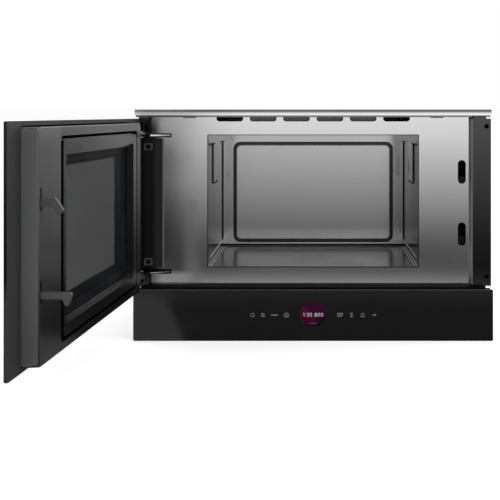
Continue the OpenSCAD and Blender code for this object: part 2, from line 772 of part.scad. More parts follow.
// Box on the far end, with the terminals of the magnetron's supply
module magnetron_filter_box() {
  color("#bdbfbf") {
    block(mag_x1, mag_x1 + 32, well_y - 27, well_y + 27, mag_z - 26, mag_z + 26);
    block(mag_x1 + 8, mag_x1 + 26, well_y - 45, well_y - 27 + eps, mag_z - 10, mag_z + 10);
    for (z = [-5, 5]) block(mag_x1 + 14, mag_x1 + 20, well_y - 54, well_y - 45 + eps,
      mag_z + z - 0.4, mag_z + z + 0.4);
  }
}

// Cooling fan

fan_x = side_in - fan_side;
fan_back = casing_d - sheet_t;
fan_front = fan_back - fan_depth;
fan_half = fan_r + 5;

// Square frame with a round air passage
module fan_frame() {
  color("#242628") difference() {
    front_block(fan_x - fan_half, fan_x + fan_half, fan_z - fan_half, fan_z + fan_half,
      fan_front, fan_back, 5);
    rod_y(fan_x, fan_z, fan_front - 1, fan_back + 1, fan_r + 1.2);
    for (s = [-1, 1], t = [-1, 1])
      rod_y(fan_x + s * (fan_half - 5.5), fan_z + t * (fan_half - 5.5), fan_front - 1, fan_back + 1, 2.2);
  }
}

// Motor on three arms in front of the blades, with its shaft
module fan_motor() {
  color("#3c3f41") {
    rod_y(fan_x, fan_z, fan_front, fan_front + 5, 15);
    rod_y(fan_x, fan_z, fan_front + 4, fan_back - 4.7, 2);
    intersection() {
      for (a = [90:120:330]) translate([fan_x, fan_front + 3, fan_z]) rotate([0, a, 0])
        translate([0, -3, -3]) cube([fan_r + 3, 3, 6]);
      rod_y(fan_x, fan_z, fan_front, fan_front + 3, fan_r + 1.1);
    }
  }
}

// Hub with swept blades that draw air in through the guard
module fan_impeller() {
  y1 = fan_back - 3;
  depth = fan_depth - 10;
  color("#15171a") difference() {
    union() {
      rod_y(fan_x, fan_z, y1 - depth, y1, 16);
      for (k = [0:fan_blades - 1]) translate([fan_x, y1 - 1, fan_z]) rotate([90, 0, 0])
        rotate(k * 360 / fan_blades) linear_extrude(depth - 2, twist = 28, slices = 5)
          fan_blade();
    }
    rod_y(fan_x, fan_z, y1 - depth - 1, y1 - 1.5, 2 + pin_fit);
  }
}

// Section of one blade, as the strip between two arcs
module fan_blade() {
  r = 34;
  intersection() {
    difference() {
      translate([fan_r / 2 + 4, -r + 5]) circle(r, $fn = 64);
      translate([fan_r / 2 + 4.4, -r + 3.6]) circle(r, $fn = 64);
    }
    translate([14, -10]) square([fan_r - 15, 20]);
  }
}

// Duct that leads the fan's air through the magnetron's fins
module air_duct() {
  y0 = well_y + mag_y + 2;
  top = mag_z + mag_half;
  low = mag_z - mag_half;
  color("#d5d6d2") difference() {
    union() {
      block(mag_x0 - 1.5, mag_x1 + 1.5, y0, fan_front - 20 + eps, low - 1, top + 1);
      block(fan_x - fan_half, fan_x + fan_half, fan_front - 22, fan_front, fan_z - fan_half, fan_z + fan_half - 3);
    }
    block(mag_x0, mag_x1, y0 - 1, fan_front - 18, low + 0.5, top - 0.5);
    block(fan_x - fan_half + 1.5, fan_x + fan_half - 1.5, fan_front - 20.5, fan_front + 1,
      fan_z - fan_half + 1.5, fan_z + fan_half - 4.5);
  }
}

// Power electronics

board_x0 = 27 - side_in;
board_x1 = board_x0 + inverter_w;
board_y0 = 40;
board_y1 = board_y0 + inverter_d;
board_z = board_up + eps;
part_z = board_z + 1.6;
filter_x0 = 3 - side_in;
filter_y1 = casing_d - 22;

// Inverter's circuit board on its stand-offs
module inverter_board() {
  color("#2f6b45") block(board_x0, board_x1, board_y0, board_y1, board_z, part_z);
}

// Extruded aluminium heat sink with the two power transistors
module inverter_heat_sink() {
  x0 = board_x0 + 6;
  y = board_y0 + 20;
  pitch = 60 / (sink_fins - 1);
  color("#c4c7c9") {
    block(x0, x0 + 64, y, y + 6, part_z, part_z + sink_h);
    for (k = [0:sink_fins - 1])
      block(x0 + 1 + k * pitch, x0 + 2.6 + k * pitch, y + 6 - eps, y + 38, part_z, part_z + sink_h);
  }
  color("#202122") for (x = [x0 + 14, x0 + 39]) block(x, x + 16, y - 4.5, y, part_z + 6, part_z + 26);
}

// High-voltage transformer with its ferrite core and two windings
module inverter_transformer() {
  x0 = board_x1 - 76;
  y0 = board_y1 - 90;
  color("#3d3e40") difference() {
    block(x0, x0 + 58, y0, y0 + 42, part_z, part_z + 50);
    block(x0 + 10, x0 + 48, y0 - 1, y0 + 43, part_z + 10, part_z + 40);
  }
  color("#a8642c") for (x = [x0 + 10.5, x0 + 30]) rod_x(y0 + 21, part_z + 25, x, x + 17, 14.99);
}

// Smoothing and resonance capacitors
module inverter_capacitors() {
  y = board_y0 + 20;
  color("#b33a2b") block(board_x1 - 80, board_x1 - 50, y - 10, y + 4, part_z, part_z + 26);
  color("#caa53a") for (x = [board_x1 - 35, board_x1 - 15]) translate([x, y, part_z]) cylinder(r = 8, h = 30);
}

// Mains filter board with its choke and its capacitor
module mains_filter() {
  x1 = filter_x0 + filter_w;
  y0 = filter_y1 - filter_d;
  color("#3d6f4a") block(filter_x0, x1, y0, filter_y1, board_z, part_z);
  color("#c98a4b") translate([filter_x0 + 24, y0 + 28, part_z - eps]) difference() {
    cylinder(r = 15, h = 14);
    translate([0, 0, -1]) cylinder(r = 7, h = 16);
  }
  color("#d9b12f") block(x1 - 36, x1 - 18, y0 + 12, y0 + 42, part_z - eps, part_z + 18);
}

inlet_x = 45 - side_in;
inlet_z = 52;

// Mains inlet set into the rear panel, with its three pins
module power_inlet() {
  y1 = casing_d;
  color("#1d1e20") difference() {
    union() {
      block(inlet_x - 13.9, inlet_x + 13.9, y1 - 22, y1, inlet_z - 10.4, inlet_z + 10.4);
      front_block(inlet_x - 20, inlet_x + 20, inlet_z - 13, inlet_z + 13, y1 - 4, y1 - sheet_t, 3);
    }
    front_extrude(y1 - 18, y1 + 1) polygon([[inlet_x - 12, inlet_z - 8.2], [inlet_x + 12, inlet_z - 8.2],
      [inlet_x + 12, inlet_z + 4], [inlet_x + 7.5, inlet_z + 8.2], [inlet_x - 7.5, inlet_z + 8.2],
      [inlet_x - 12, inlet_z + 4]]);
  }
  color("#d8d8d4") for (p = [[-7, -2], [0, 2], [7, -2]])
    block(inlet_x + p[0] - 1, inlet_x + p[0] + 1, y1 - 18 - eps, y1 - 3, inlet_z + p[1] - 2, inlet_z + p[1] + 2);
}

// Latch inside the housing

// Moulded carrier behind the latch slots, with a ledge that each hook drops behind
module latch_housing() {
  y0 = plate_back;
  z0 = latch_low_z - latch_slot_h / 2;
  z1 = latch_high_z + latch_slot_h / 2;
  half_slot = latch_slot_w / 2;
  color("#232527") {
    difference() {
      block(hook_x - half_slot - 6, hook_x + half_slot + 6, y0, y0 + latch_depth, z0 - 9, z1 + 9);
      for (z = [latch_low_z, latch_high_z])
        block(hook_x - half_slot, hook_x + half_slot, y0 - 1, y0 + latch_depth - 2,
          z - latch_slot_h / 2, z + latch_slot_h / 2);
      block(hook_x - half_slot, hook_x + half_slot, y0 + 12, y0 + latch_depth - 2,
        latch_low_z + latch_slot_h / 2 + 8, latch_high_z - latch_slot_h / 2 - 8);
    }
    block(hook_x - half_slot - eps, hook_x + half_slot + eps, y0 + 7, y0 + 20,
      latch_low_z - latch_slot_h / 2 - eps, hook_low_z - 5.2);
    block(hook_x - half_slot - eps, hook_x + half_slot + eps, y0 + 2, y0 + 10.5,
      latch_high_z - latch_slot_h / 2 - eps, hook_high_z - 7);
  }
}

// Three microswitches beside the latch housing
module interlock_switches() {
  x = hook_x + latch_slot_w / 2 + 6;
  for (z = [latch_low_z, latch_mid_z, latch_high_z]) {
    color("#1f2022") block(x, x + 6.5, plate_back + 14, plate_back + 34, z - 8, z + 2);
    color("#b8b9ba") block(x + 1.2, x + 5.2, plate_back + 15, plate_back + 33, z + 2 - eps, z + 2.6);
    color("#c9a24a") for (y = [18, 25, 32])
      block(x + 2.8, x + 3.6, plate_back + y - 1.5, plate_back + y + 1.5, z - 14, z - 8 + eps);
  }
}

// Control panel

// Black glass of the control panel, with the round window of the display
module panel_glass() {
  color("#0d0e0f") difference() {
    front_block(-half_w, half_w, panel_z0, panel_z1, glass_y, glass_back, glass_r);
    rod_y(0, display_z, glass_y - 1, glass_back + 1, display_r + 0.05);
  }
}

// Round display set flush into the glass
module display_lens() {
  color("#5a0d34") rod_y(0, display_z, glass_y, glass_back, display_r);
}

// Moulded carrier behind the panel glass, with ribs and a cable opening
module panel_carrier() {
  x = half_w - 3;
  z0 = panel_z0 + 1.5;
  z1 = panel_z1;
  rib_pitch = (x - board_half - 34) / 3;
  color("#202224") difference() {
    union() {
      difference() {
        block(-x, x, glass_back, carrier_back, z0, z1);
        block(-x + moulding_t, x - moulding_t, glass_back - 1, carrier_back - moulding_t,
          z0 + moulding_t, z1 - moulding_t);
      }
      for (s = [-1, 1], k = [0:3]) translate([s * (board_half + 8 + rib_pitch * k), 0, 0])
        block(-1, 1, glass_back + 1, carrier_back - moulding_t + eps, z0 + moulding_t - eps,
          z1 - moulding_t + eps);
      // Rib that closes the gap below the front plate
      block(13.5 - half_w, half_w - 13.5, glass_back + 2, carrier_back, z1 - eps, z1 + 3.2);
      // Posts that hold the control board
      for (s = [-1, 1], z = [display_z - 24, display_z + 24])
        rod_y(s * (board_half - 6), z, board_y + 1.6, carrier_back - moulding_t + eps, 4);
    }
    block(60, 120, carrier_back - 5, carrier_back + 1, display_z - 12, display_z + 12);
  }
}

// Circuit board behind the panel glass, with the display's housing and a connector
module control_board() {
  color("#2c5a3c") block(-board_half, board_half, board_y, board_y + 1.6, display_z - 29, display_z + 29);
  color("#2a2b2d") {
    rod_y(0, display_z, glass_back, board_y + eps, display_r + 3);
    block(70, 110, board_y + 1.6 - eps, board_y + 5, display_z - 6, display_z + 6);
  }
}

// Sprung contact pads behind the touch symbols
module touch_pads() {
  color("#d0b060") for (s = [-1, 1], k = [0:key_count - 1])
    rod_y(s * (key_first + k * key_pitch), display_z, glass_back, board_y, 5);
}

// Door

// Black glass that covers the whole door
module door_glass() {
  color("#0c0d0e") opened()
    front_block(door_x0, door_x1, door_z0, door_z1, glass_y, glass_back, glass_r);
}

// Block with round corners whose sides draw in and round over towards its face
module frame_block(grow, y0, y1) {
  steps = [[y0, 0], [y1 - 2.6, 0.8], [y1 - 1.1, 1.2], [y1 - 0.35, 1.8], [y1, 2.6]];
  hull() for (s = steps) front_block(frame_x0 - grow + s[1], frame_x1 + grow - s[1],
    frame_z0 - grow + s[1], frame_z1 + grow - s[1], s[0] - eps, s[0], 7, $fn = 32);
}

// Slits through which the two hooks stand out of the door frame
module hook_slits() {
  half = hook_t / 2 + 0.7;
  for (z = [hook_low_z, hook_high_z])
    block(hook_x - half, hook_x + half, glass_back, frame_y + 1, z - 9.5, z + 5 + hook_lift + 4);
}

// Moulded outer frame on the back of the glass, hollow, with guides for the latch bar
module door_frame() {
  t = moulding_t;
  bar = hook_t / 2 + 0.25;
  color("#2a2c2e") opened() difference() {
    union() {
      difference() {
        frame_block(0, glass_back + eps, frame_y);
        front_block(frame_x0 + t, frame_x1 - t - 1, frame_z0 + t + 1, frame_z1 - t - 1,
          glass_back - 1, frame_y - t, 5);
      }
      seam_ring(-t, 0, glass_back + 3, frame_y - 1);
      // Guides on both sides of the latch bar
      for (z = [latch_mid_z - 16, latch_high_z + 25], s = [-1, 1])
        block(hook_x + (s > 0 ? bar : -bar - 2), hook_x + (s > 0 ? bar + 2 : -bar), glass_back + 2,
          frame_y - t + eps, z, z + 16);
      // Seat of the latch spring
      block(hook_x - 6, frame_x1 - t, glass_back + 2, frame_y - t + eps, spring_z1, spring_z1 + 2);
    }
    front_extrude(glass_back - 1, frame_y + 1) seam_rect(0);
    hook_slits();
  }
}
spring_z1 = latch_high_z + 64;

// Moulded ring between the seam and the window, stepped down to the pane
module choke_cover() {
  t = moulding_t;
  rim = rim_inset;
  step_in = [0, 2.4, 4.2];
  step_y = [frame_y, frame_y - 3.4, frame_y - 7, pane_y];
  color("#2c2e30") opened() {
    seam_ring(0.2, seam_w + t, frame_y - 6, frame_y - 4);
    seam_ring(1.8, 3.7, frame_y - 4 - eps, frame_y - 2.2);
    seam_ring(seam_w, seam_w + t, frame_y - 4 - eps, frame_y);
    seam_ring(seam_w, rim, frame_y - t, frame_y);
    for (k = [0:2]) {
      seam_ring(rim - t + step_in[k], rim + step_in[k], step_y[k + 1] - (k < 2 ? t : 0), step_y[k]);
      if (k < 2)
        seam_ring(rim - t + step_in[k], rim + step_in[k + 1], step_y[k + 1] - t, step_y[k + 1]);
    }
  }
}

// Steel choke behind the moulded ring, with a comb of slots along its fold
module door_choke() {
  y0 = pane_y - pane_t - screen_t;
  inset = seam_w + moulding_t + 1.3;
  color("#a9acae") opened() difference() {
    union() {
      seam_ring(2, rim_inset + 14, y0 - sheet_t, y0);
      seam_ring(inset, inset + sheet_t, y0 - eps, frame_y - moulding_t - 0.2);
    }
    for (x = [-7.5:7.5]) translate([(seam_x0 + seam_x1) / 2 + x * 21, 0, 0])
      block(-1.5, 1.5, y0 + 3, frame_y, seam_z0, seam_z1);
    for (z = [-4.5:4.5]) block(seam_x0, seam_x1, y0 + 3, frame_y,
      (seam_z0 + seam_z1) / 2 + z * 21 - 1.5, (seam_z0 + seam_z1) / 2 + z * 21 + 1.5);
  }
}

// Foam tape between the glass and the choke
module door_gasket() {
  color("#1a1a1a") opened() seam_ring(3, 13, glass_back, pane_y - pane_t - screen_t - sheet_t);
}

// Clear pane at the bottom of the window recess
module door_pane() {
  color([0.16, 0.17, 0.18, 0.6]) opened() front_extrude(pane_y - pane_t, pane_y)
    seam_rect(rim_inset + 2);
}

// Perforated sheet behind the pane
module door_screen() {
  color("#55585a") opened() front_extrude(pane_y - pane_t - screen_t, pane_y - pane_t)
    seam_rect(rim_inset + 3);
}

// Steel plate on the door that turns about the pin, bent to a flange on the glass
module hinge_leaf(z, up) {
  x = axis_x;
  y = axis_y;
  reach = frame_in - 1;
  color("gainsboro") opened() difference() {
    union() {
      translate([0, 0, z]) linear_extrude(leaf_t) intersection() {
        union() {
          translate([x, y]) circle(6.4);
          polygon([[x, y + 6.4], [x + 8, y + 8.6], [x + 15, y + 10.2], [x + 22, y + 10.6],
            [x + 32, y + 9], [x + 42, y + 5], [x + 54, y + 1.5], [x + reach, y + 0.6],
            [x + reach, glass_back], [x, glass_back]]);
        }
        translate([x - 10, glass_back]) square([reach + 10, 30]);
      }
      translate([x + 12, glass_back, z + (up > 0 ? 0 : leaf_t - 21)]) cube([reach - 12, 2, 21]);
    }
    translate([x, y, z - 1]) cylinder(r = pin_r, h = leaf_t + 2);
  }
}

leaf_z = [arm_z[0] - washer_t - leaf_t, arm_z[1] + leaf_t + washer_t];

module hinge_leaf_upper() { hinge_leaf(leaf_z[1], 1); }

module hinge_leaf_lower() { hinge_leaf(leaf_z[0], -1); }

// Riveted pins of both hinges, each with the washer between its plates
module hinge_pins() {
  color("#8f9294") opened() for (k = [0, 1]) {
    z0 = min(arm_z[k], leaf_z[k]);
    z1 = max(arm_z[k], leaf_z[k]) + leaf_t;
    washer_z = min(arm_z[k], leaf_z[k]) + leaf_t;
    translate([axis_x, axis_y, z0 - 1.8]) cylinder(r = pin_r, h = z1 - z0 + 3.6);
    translate([axis_x, axis_y, z0 - 1.9]) cylinder(r = pin_r + 1.4, h = 1.7);
    translate([axis_x, axis_y, z1 + 0.2]) cylinder(r = pin_r + 1.4, h = 1.7);
    translate([axis_x, axis_y, washer_z]) cylinder(r = pin_r + 1.8, h = washer_t);
  }
}

// Latch of the door

bar_z0 = latch_low_z - 24;
bar_z1 = latch_high_z + 44;

// Profile of the lower hook, in Y and Z, with its beak turned down
module lower_hook() {
  y = frame_y;
  z = hook_low_z;
  polygon([[y - 8, z - 3.9], [y + 24.5, z - 3.9], [y + 27.6, z - 10.4], [y + 29, z - 11.2],
    [y + 31.6, z - 11], [y + 36, z + 0.4], [y + 35.6, z + 2], [y + 33, z + 3.9], [y - 8, z + 3.9]]);
}

// Profile of the upper hook, in Y and Z, which slants down to its tip
module upper_hook() {
  y = frame_y;
  z = hook_high_z;
  polygon([[y - 8, z - 5.4], [y + 15, z - 5.4], [y + 16.5, z - 9.2], [y + 20.4, z - 14],
    [y + 25.4, z - 10.6], [y + 26.1, z - 8.4], [y + 20, z + 1], [y + 16, z + 5.5], [y - 8, z + 5.5]]);
}

// Upright bar inside the door frame that carries both hooks
module latch_bar() {
  y0 = glass_back + 3;
  y1 = frame_y - moulding_t - 1;
  color("#6b6d6f") opened() difference() {
    union() {
      block(hook_x - hook_t / 2, hook_x + hook_t / 2, y0, y1, bar_z0, bar_z1);
      side_extrude(hook_x - hook_t / 2, hook_x + hook_t / 2) {
        lower_hook();
        upper_hook();
      }
      translate([hook_x, (y0 + y1) / 2, bar_z1 - eps]) cylinder(r = 1.4, h = 5);
    }
    // Lightening windows in the bar
    for (s = [-1, 1]) translate([hook_x, 0, latch_mid_z + s * (latch_high_z - latch_low_z) / 6])
      block(-5, 5, y0 + 3, y1 - 3, -5, 5);
  }
}

// Point on the latch spring's helix
function coil_point(a, r, z) = [r * cos(a), r * sin(a), z];

// Coil spring that presses the latch bar down
module latch_spring() {
  turns = 7;
  sides = 6;
  per_turn = 14;
  wire = 0.45;
  coil_r = 2.6;
  length = spring_z1 - bar_z1 - 2 * wire - 0.2;
  count = turns * per_turn;
  rings = [for (i = [0:count], k = [0:sides - 1])
    coil_point(i * 360 / per_turn, coil_r + wire * cos(k * 360 / sides),
      i * length / count + wire * sin(k * 360 / sides))];
  walls = [for (i = [0:count - 1], k = [0:sides - 1], half = [0, 1])
    let (a = i * sides + k, b = i * sides + (k + 1) % sides)
      half == 0 ? [a, b, b + sides] : [a, b + sides, a + sides]];
  ends = [for (k = [1:sides - 2], e = [0, 1]) e == 0 ? [0, k + 1, k]
    : [count * sides, count * sides + k, count * sides + k + 1]];
  color("#9a9da0") opened()
    translate([hook_x, (glass_back + 3 + frame_y - moulding_t - 1) / 2, bar_z1 + wire + 0.1])
      polyhedron(rings, concat(walls, ends));
}

top_trim();
front_plate();
side_flange_right();
side_flange_left();
hinge_cover();
hinge_bracket_upper();
hinge_bracket_lower();
outer_casing();
base_plate();
rear_panel();
front_crossbar();
casing_screws();
cavity_wrap();
cavity_back_wall();
cavity_floor();
floor_plate();
floor_seal();
cavity_lamp();
thermal_cutout();
exhaust_guide();
waveguide();
antenna_motor();
magnetron_frame();
magnetron_anode();
magnetron_magnets();
magnetron_antenna();
magnetron_filter_box();
fan_frame();
fan_motor();
air_duct();
inverter_board();
inverter_heat_sink();
inverter_transformer();
inverter_capacitors();
mains_filter();
power_inlet();
latch_housing();
interlock_switches();
panel_glass();
display_lens();
panel_carrier();
control_board();
touch_pads();
door_glass();
door_frame();
choke_cover();
door_choke();
door_gasket();
door_pane();
door_screen();
hinge_leaf_upper();
hinge_leaf_lower();
hinge_pins();
latch_spring();
latch_bar();
fan_impeller();
rotating_antenna();
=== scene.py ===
import json
import math

import bpy
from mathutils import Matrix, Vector


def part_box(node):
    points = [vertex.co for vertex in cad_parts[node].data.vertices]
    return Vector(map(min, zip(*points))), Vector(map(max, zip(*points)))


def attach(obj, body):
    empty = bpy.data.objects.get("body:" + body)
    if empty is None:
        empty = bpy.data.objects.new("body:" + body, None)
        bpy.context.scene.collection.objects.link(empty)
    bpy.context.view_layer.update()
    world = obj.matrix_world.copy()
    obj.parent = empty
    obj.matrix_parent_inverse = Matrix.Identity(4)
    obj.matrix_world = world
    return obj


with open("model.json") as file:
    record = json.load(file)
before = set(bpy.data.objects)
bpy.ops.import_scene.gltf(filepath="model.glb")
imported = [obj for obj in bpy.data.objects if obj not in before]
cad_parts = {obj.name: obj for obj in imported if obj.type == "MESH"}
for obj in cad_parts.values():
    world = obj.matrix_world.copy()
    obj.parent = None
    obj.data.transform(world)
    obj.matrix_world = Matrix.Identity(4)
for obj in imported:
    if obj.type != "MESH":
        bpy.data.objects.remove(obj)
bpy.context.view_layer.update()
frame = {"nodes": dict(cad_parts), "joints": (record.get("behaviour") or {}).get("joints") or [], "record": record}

# Places taken from the frame, in metres

SHEET = 0.001
wall_low, wall_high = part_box("cavity_back_wall")
wall_x = wall_high.x - SHEET
back_y = wall_low.y
roof_z = wall_high.z - SHEET
floor_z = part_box("floor_plate")[1].z
plate_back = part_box("cavity_wrap")[0].y
slot_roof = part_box("outer_casing")[1].z - SHEET
panel_low, panel_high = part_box("panel_glass")
display_low, display_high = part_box("display_lens")
display_z = (display_low.z + display_high.z) / 2
hinge = next(joint for joint in frame["joints"] if joint["name"] == "door_hinge")
mounts = {mount["name"]: mount for mount in frame["record"]["mounts"]}


def screw_row(name):
    """Left or right place of one pair of cabinet screws, the middle between them and half their distance."""
    x, _, middle = mounts[name]["pos_m"]
    return x, middle, mounts[name]["dims"]["spacing_y_mm"] / 2000


# Camera

scene = bpy.context.scene
scene.view_settings.view_transform = "Standard"
camera = bpy.data.objects.new("camera", bpy.data.cameras.new("camera"))
scene.collection.objects.link(camera)
scene.camera = camera
camera.location = (0, -1.62, 0.36)
camera.rotation_euler = (math.radians(90), 0, 0)
camera.data.sensor_width = 36
camera.data.lens = 69.82
camera.data.shift_x = -0.1263
camera.data.shift_y = -0.2714


# Nodes written as sums

class Wire:
    """One output of a node. A sum on it adds the nodes that work it out."""

    def __init__(self, tree, socket):
        self.tree = tree
        self.socket = socket

    def maths(self, operation, *values):
        return self.tree.add("ShaderNodeMath", {"operation": operation}, dict(enumerate(values)))

    def __add__(self, other):
        return self.maths("ADD", self, other)

    def __sub__(self, other):
        return self.maths("SUBTRACT", self, other)

    def __rsub__(self, other):
        return self.maths("SUBTRACT", other, self)

    def __mul__(self, other):
        return self.maths("MULTIPLY", self, other)

    def __gt__(self, other):
        return self.maths("GREATER_THAN", self, other)

    def __abs__(self):
        return self.maths("ABSOLUTE", self)

    __radd__ = __add__
    __rmul__ = __mul__

    def repeat(self, pitch):
        """Distance from the middle of the nearest step of that pitch."""
        return self.maths("PINGPONG", self, pitch / 2)

    def top(self, other):
        """The higher of the two."""
        return self.maths("MAXIMUM", self, other)

    def low(self, other):
        """The lower of the two."""
        return self.maths("MINIMUM", self, other)

    def root(self):
        return self.maths("SQRT", self)

    def axis(self, letter):
        return self.tree.add("ShaderNodeSeparateXYZ", {}, {0: self}, letter)


class Tree:
    """The nodes of one finish, or of the studio."""

    def __init__(self, tree):
        self.tree = tree

    def add(self, kind, settings, inputs, output=0):
        node = self.tree.nodes.new(kind)
        for name, value in settings.items():
            if name == "stops":
                set_stops(node.color_ramp, value)
            else:
                setattr(node, name, value)
        for name, value in inputs.items():
            self.feed(node.inputs[name], value)
        return Wire(self, node.outputs[output])

    def feed(self, socket, value):
        if isinstance(value, Wire):
            self.tree.links.new(value.socket, socket)
        else:
            socket.default_value = value

    def place(self):
        return self.add("ShaderNodeTexCoord", {}, {}, "Object")

    def stretch(self, vector, scale):
        return self.add("ShaderNodeVectorMath", {"operation": "MULTIPLY"}, {0: vector, 1: scale})

    def noise(self, vector, scale, detail=2.0):
        inputs = {"Vector": self.stretch(vector, scale), "Scale": 1.0, "Detail": detail}
        return self.add("ShaderNodeTexNoise", {}, inputs)

    def cells(self, vector, scale, output=0):
        inputs = {"Vector": self.stretch(vector, scale), "Scale": 1.0}
        return self.add("ShaderNodeTexVoronoi", {}, inputs, output)

    def ramp(self, value, stops):
        return self.add("ShaderNodeValToRGB", {"stops": stops}, {0: value})

    def between(self, value, low, high, start=0.0, end=1.0):
        inputs = {0: value, 1: low, 2: high, 3: start, 4: end}
        return self.add("ShaderNodeMapRange", {"interpolation_type": "SMOOTHSTEP"}, inputs)

    def tint(self, factor, low, high):
        return self.add("ShaderNodeMix", {"data_type": "RGBA"}, {0: factor, 6: low, 7: high}, 2)


def set_stops(ramp, stops):
    """Sets a ramp to its stops, each a position and a grey or a colour."""
    while len(ramp.elements) > 1:
        ramp.elements.remove(ramp.elements[-1])
    for i, (position, colour) in enumerate(stops):
        stop = ramp.elements[0] if i == 0 else ramp.elements.new(position)
        stop.position = position
        stop.color = rgb(colour)


def rgb(colour):
    """A grey or three numbers as a full colour."""
    if isinstance(colour, (int, float)):
        colour = (colour, colour, colour)
    return (*colour, 1.0)


class Finish(Tree):
    """One finish, which starts from plain values on its shader."""

    def __init__(self, name, plain):
        self.material = bpy.data.materials.new(name)
        self.material.use_nodes = True
        super().__init__(self.material.node_tree)
        self.shader = self.tree.nodes["Principled BSDF"]
        for socket, value in plain.items():
            self.set(socket, value)

    def set(self, socket, value):
        self.feed(self.shader.inputs[socket], value)

    def surface(self, height, depth, edge):
        """Rounds the edges a little and adds a relief of that depth, if it is given a height."""
        normal = self.add("ShaderNodeBevel", {"samples": 4}, {"Radius": edge})
        if height is not None:
            inputs = {"Strength": 1.0, "Distance": depth, "Height": height, "Normal": normal}
            normal = self.add("ShaderNodeBump", {}, inputs)
        self.set("Normal", normal)

    def dull(self, mask, tone):
        """Matte and dark where the mask is one, which paints shade there."""
        glossy = Wire(self, self.shader.outputs[0])
        matte = self.add("ShaderNodeBsdfDiffuse", {}, {"Color": rgb(tone)})
        mixed = self.add("ShaderNodeMixShader", {}, {0: mask, 1: glossy, 2: matte})
        self.feed(self.tree.nodes["Material Output"].inputs["Surface"], mixed)

    def inside(self, place, box, radius):
        """Distance from a rounded rectangle in the front's plane, less than zero inside it."""
        x0, x1, z0, z1 = box
        x = (abs(place.axis("X") - (x0 + x1) / 2) - ((x1 - x0) / 2 - radius)).top(0.0)
        z = (abs(place.axis("Z") - (z0 + z1) / 2) - ((z1 - z0) / 2 - radius)).top(0.0)
        return (x * x + z * z).root() - radius


# Studio

# Greys of the air by the height of the direction looked in, and how these heights fill the ramp
SKY_FOOT = -0.25
SKY_SCALE = 3.5
SKY = [
    (-0.235, 0.18), (-0.19, 0.22), (-0.174, 0.46), (-0.169, 0.36), (-0.164, 0.1), (-0.158, 0.05),
    (-0.15, 0.08), (-0.13, 0.11), (-0.106, 0.25), (-0.083, 0.40), (-0.04, 0.70), (-0.016, 0.93), (0.01, 1.0),
]


def make_studio():
    """Bright air above the horizon, darker below and towards the left, with one lighter slanted area."""
    world = bpy.data.worlds.new("studio")
    world.use_nodes = True
    scene.world = world
    studio = Tree(world.node_tree)
    look = studio.add("ShaderNodeTexCoord", {}, {}, "Generated")
    across = look.axis("X")
    height = look.axis("Z")
    stops = [((z - SKY_FOOT) * SKY_SCALE, grey) for z, grey in SKY]
    light = studio.ramp((height - SKY_FOOT) * SKY_SCALE, stops)
    behind = studio.between(look.axis("Y"), 0.3, -0.3)
    shade = studio.between(across, -0.2, -0.055, 0.62, -0.05)
    light = light * (1.0 - behind * shade * studio.between(height, -0.174, -0.158))
    slant = studio.between(across + height * 0.502, -0.236, -0.246)
    light = light + behind * slant * studio.between(height, -0.178, -0.183) * 0.5
    background = world.node_tree.nodes["Background"]
    studio.feed(background.inputs["Strength"], light)
    background.inputs["Color"].default_value = rgb(1.0)


def make_floor():
    """Wide white floor under the lower edge of the control panel."""
    lowest = panel_low.z
    mesh = bpy.data.meshes.new("floor")
    size = 60
    corners = [(-size, -size), (size, -size), (size, size), (-size, size)]
    mesh.from_pydata([(x, y, lowest) for x, y in corners], [], [(0, 1, 2, 3)])
    floor = bpy.data.objects.new("floor", mesh)
    scene.collection.objects.link(floor)
    finish = Finish("floor_white", {"Base Color": rgb(1.0), "Roughness": 0.9})
    finish.set("Specular IOR Level", 0.0)
    seen = finish.add("ShaderNodeLightPath", {}, {}, "Is Camera Ray")
    finish.set("Emission Color", finish.tint(seen, rgb(0.0), rgb(0.35)))
    finish.set("Emission Strength", 1.0)
    mesh.materials.append(finish.material)
    floor.visible_glossy = False


def make_lamp(name, place, target, size, watts):
    """Soft square lamp that looks at a point."""
    lamp = bpy.data.lights.new(name, "AREA")
    lamp.shape = "SQUARE"
    lamp.size = size
    lamp.energy = watts
    holder = bpy.data.objects.new(name, lamp)
    scene.collection.objects.link(holder)
    holder.location = place
    direction = Vector(target) - Vector(place)
    holder.rotation_euler = direction.to_track_quat("-Z", "Y").to_euler()


make_studio()
make_floor()
make_lamp("lamp_above", (0.3, -1.0, 1.9), (0, 0, 0.2), 1.4, 8)


# Finishes

# Outlines in the front's plane with the door closed, in metres: left, right, foot and top
OPENING = (-wall_x, wall_x, floor_z, roof_z - 0.0005)
GROOVE = (-0.1558, 0.1558, 0.1102, 0.3064)
GROOVE_INNER = (-0.1494, 0.1494, 0.1170, 0.2996)
SEAM = (-0.1954, 0.1795, 0.0899, 0.3344)
SEAM_INNER = (-0.1905, 0.1700, 0.0935, 0.3308)

# Height of the middle between the two hinges, and half the distance from arm to arm
HINGE_MIDDLE = 0.21025
ARM_REACH = 0.1148

# Middle of the door's window, and its half width and half height
WINDOW_MIDDLE = 0.2143
WINDOW_HALF_WIDTH = 0.148
WINDOW_HALF_HEIGHT = 0.0812


def closed_place(tree):
    """Place on the door as if it were closed: the frame has it open by the whole range of its hinge."""
    turn = math.radians(hinge["range_deg"][1])
    inputs = {"Vector": tree.place(), "Center": hinge["pos_m"], "Angle": turn}
    return tree.add("ShaderNodeVectorRotate", {"rotation_type": "Z_AXIS"}, inputs)


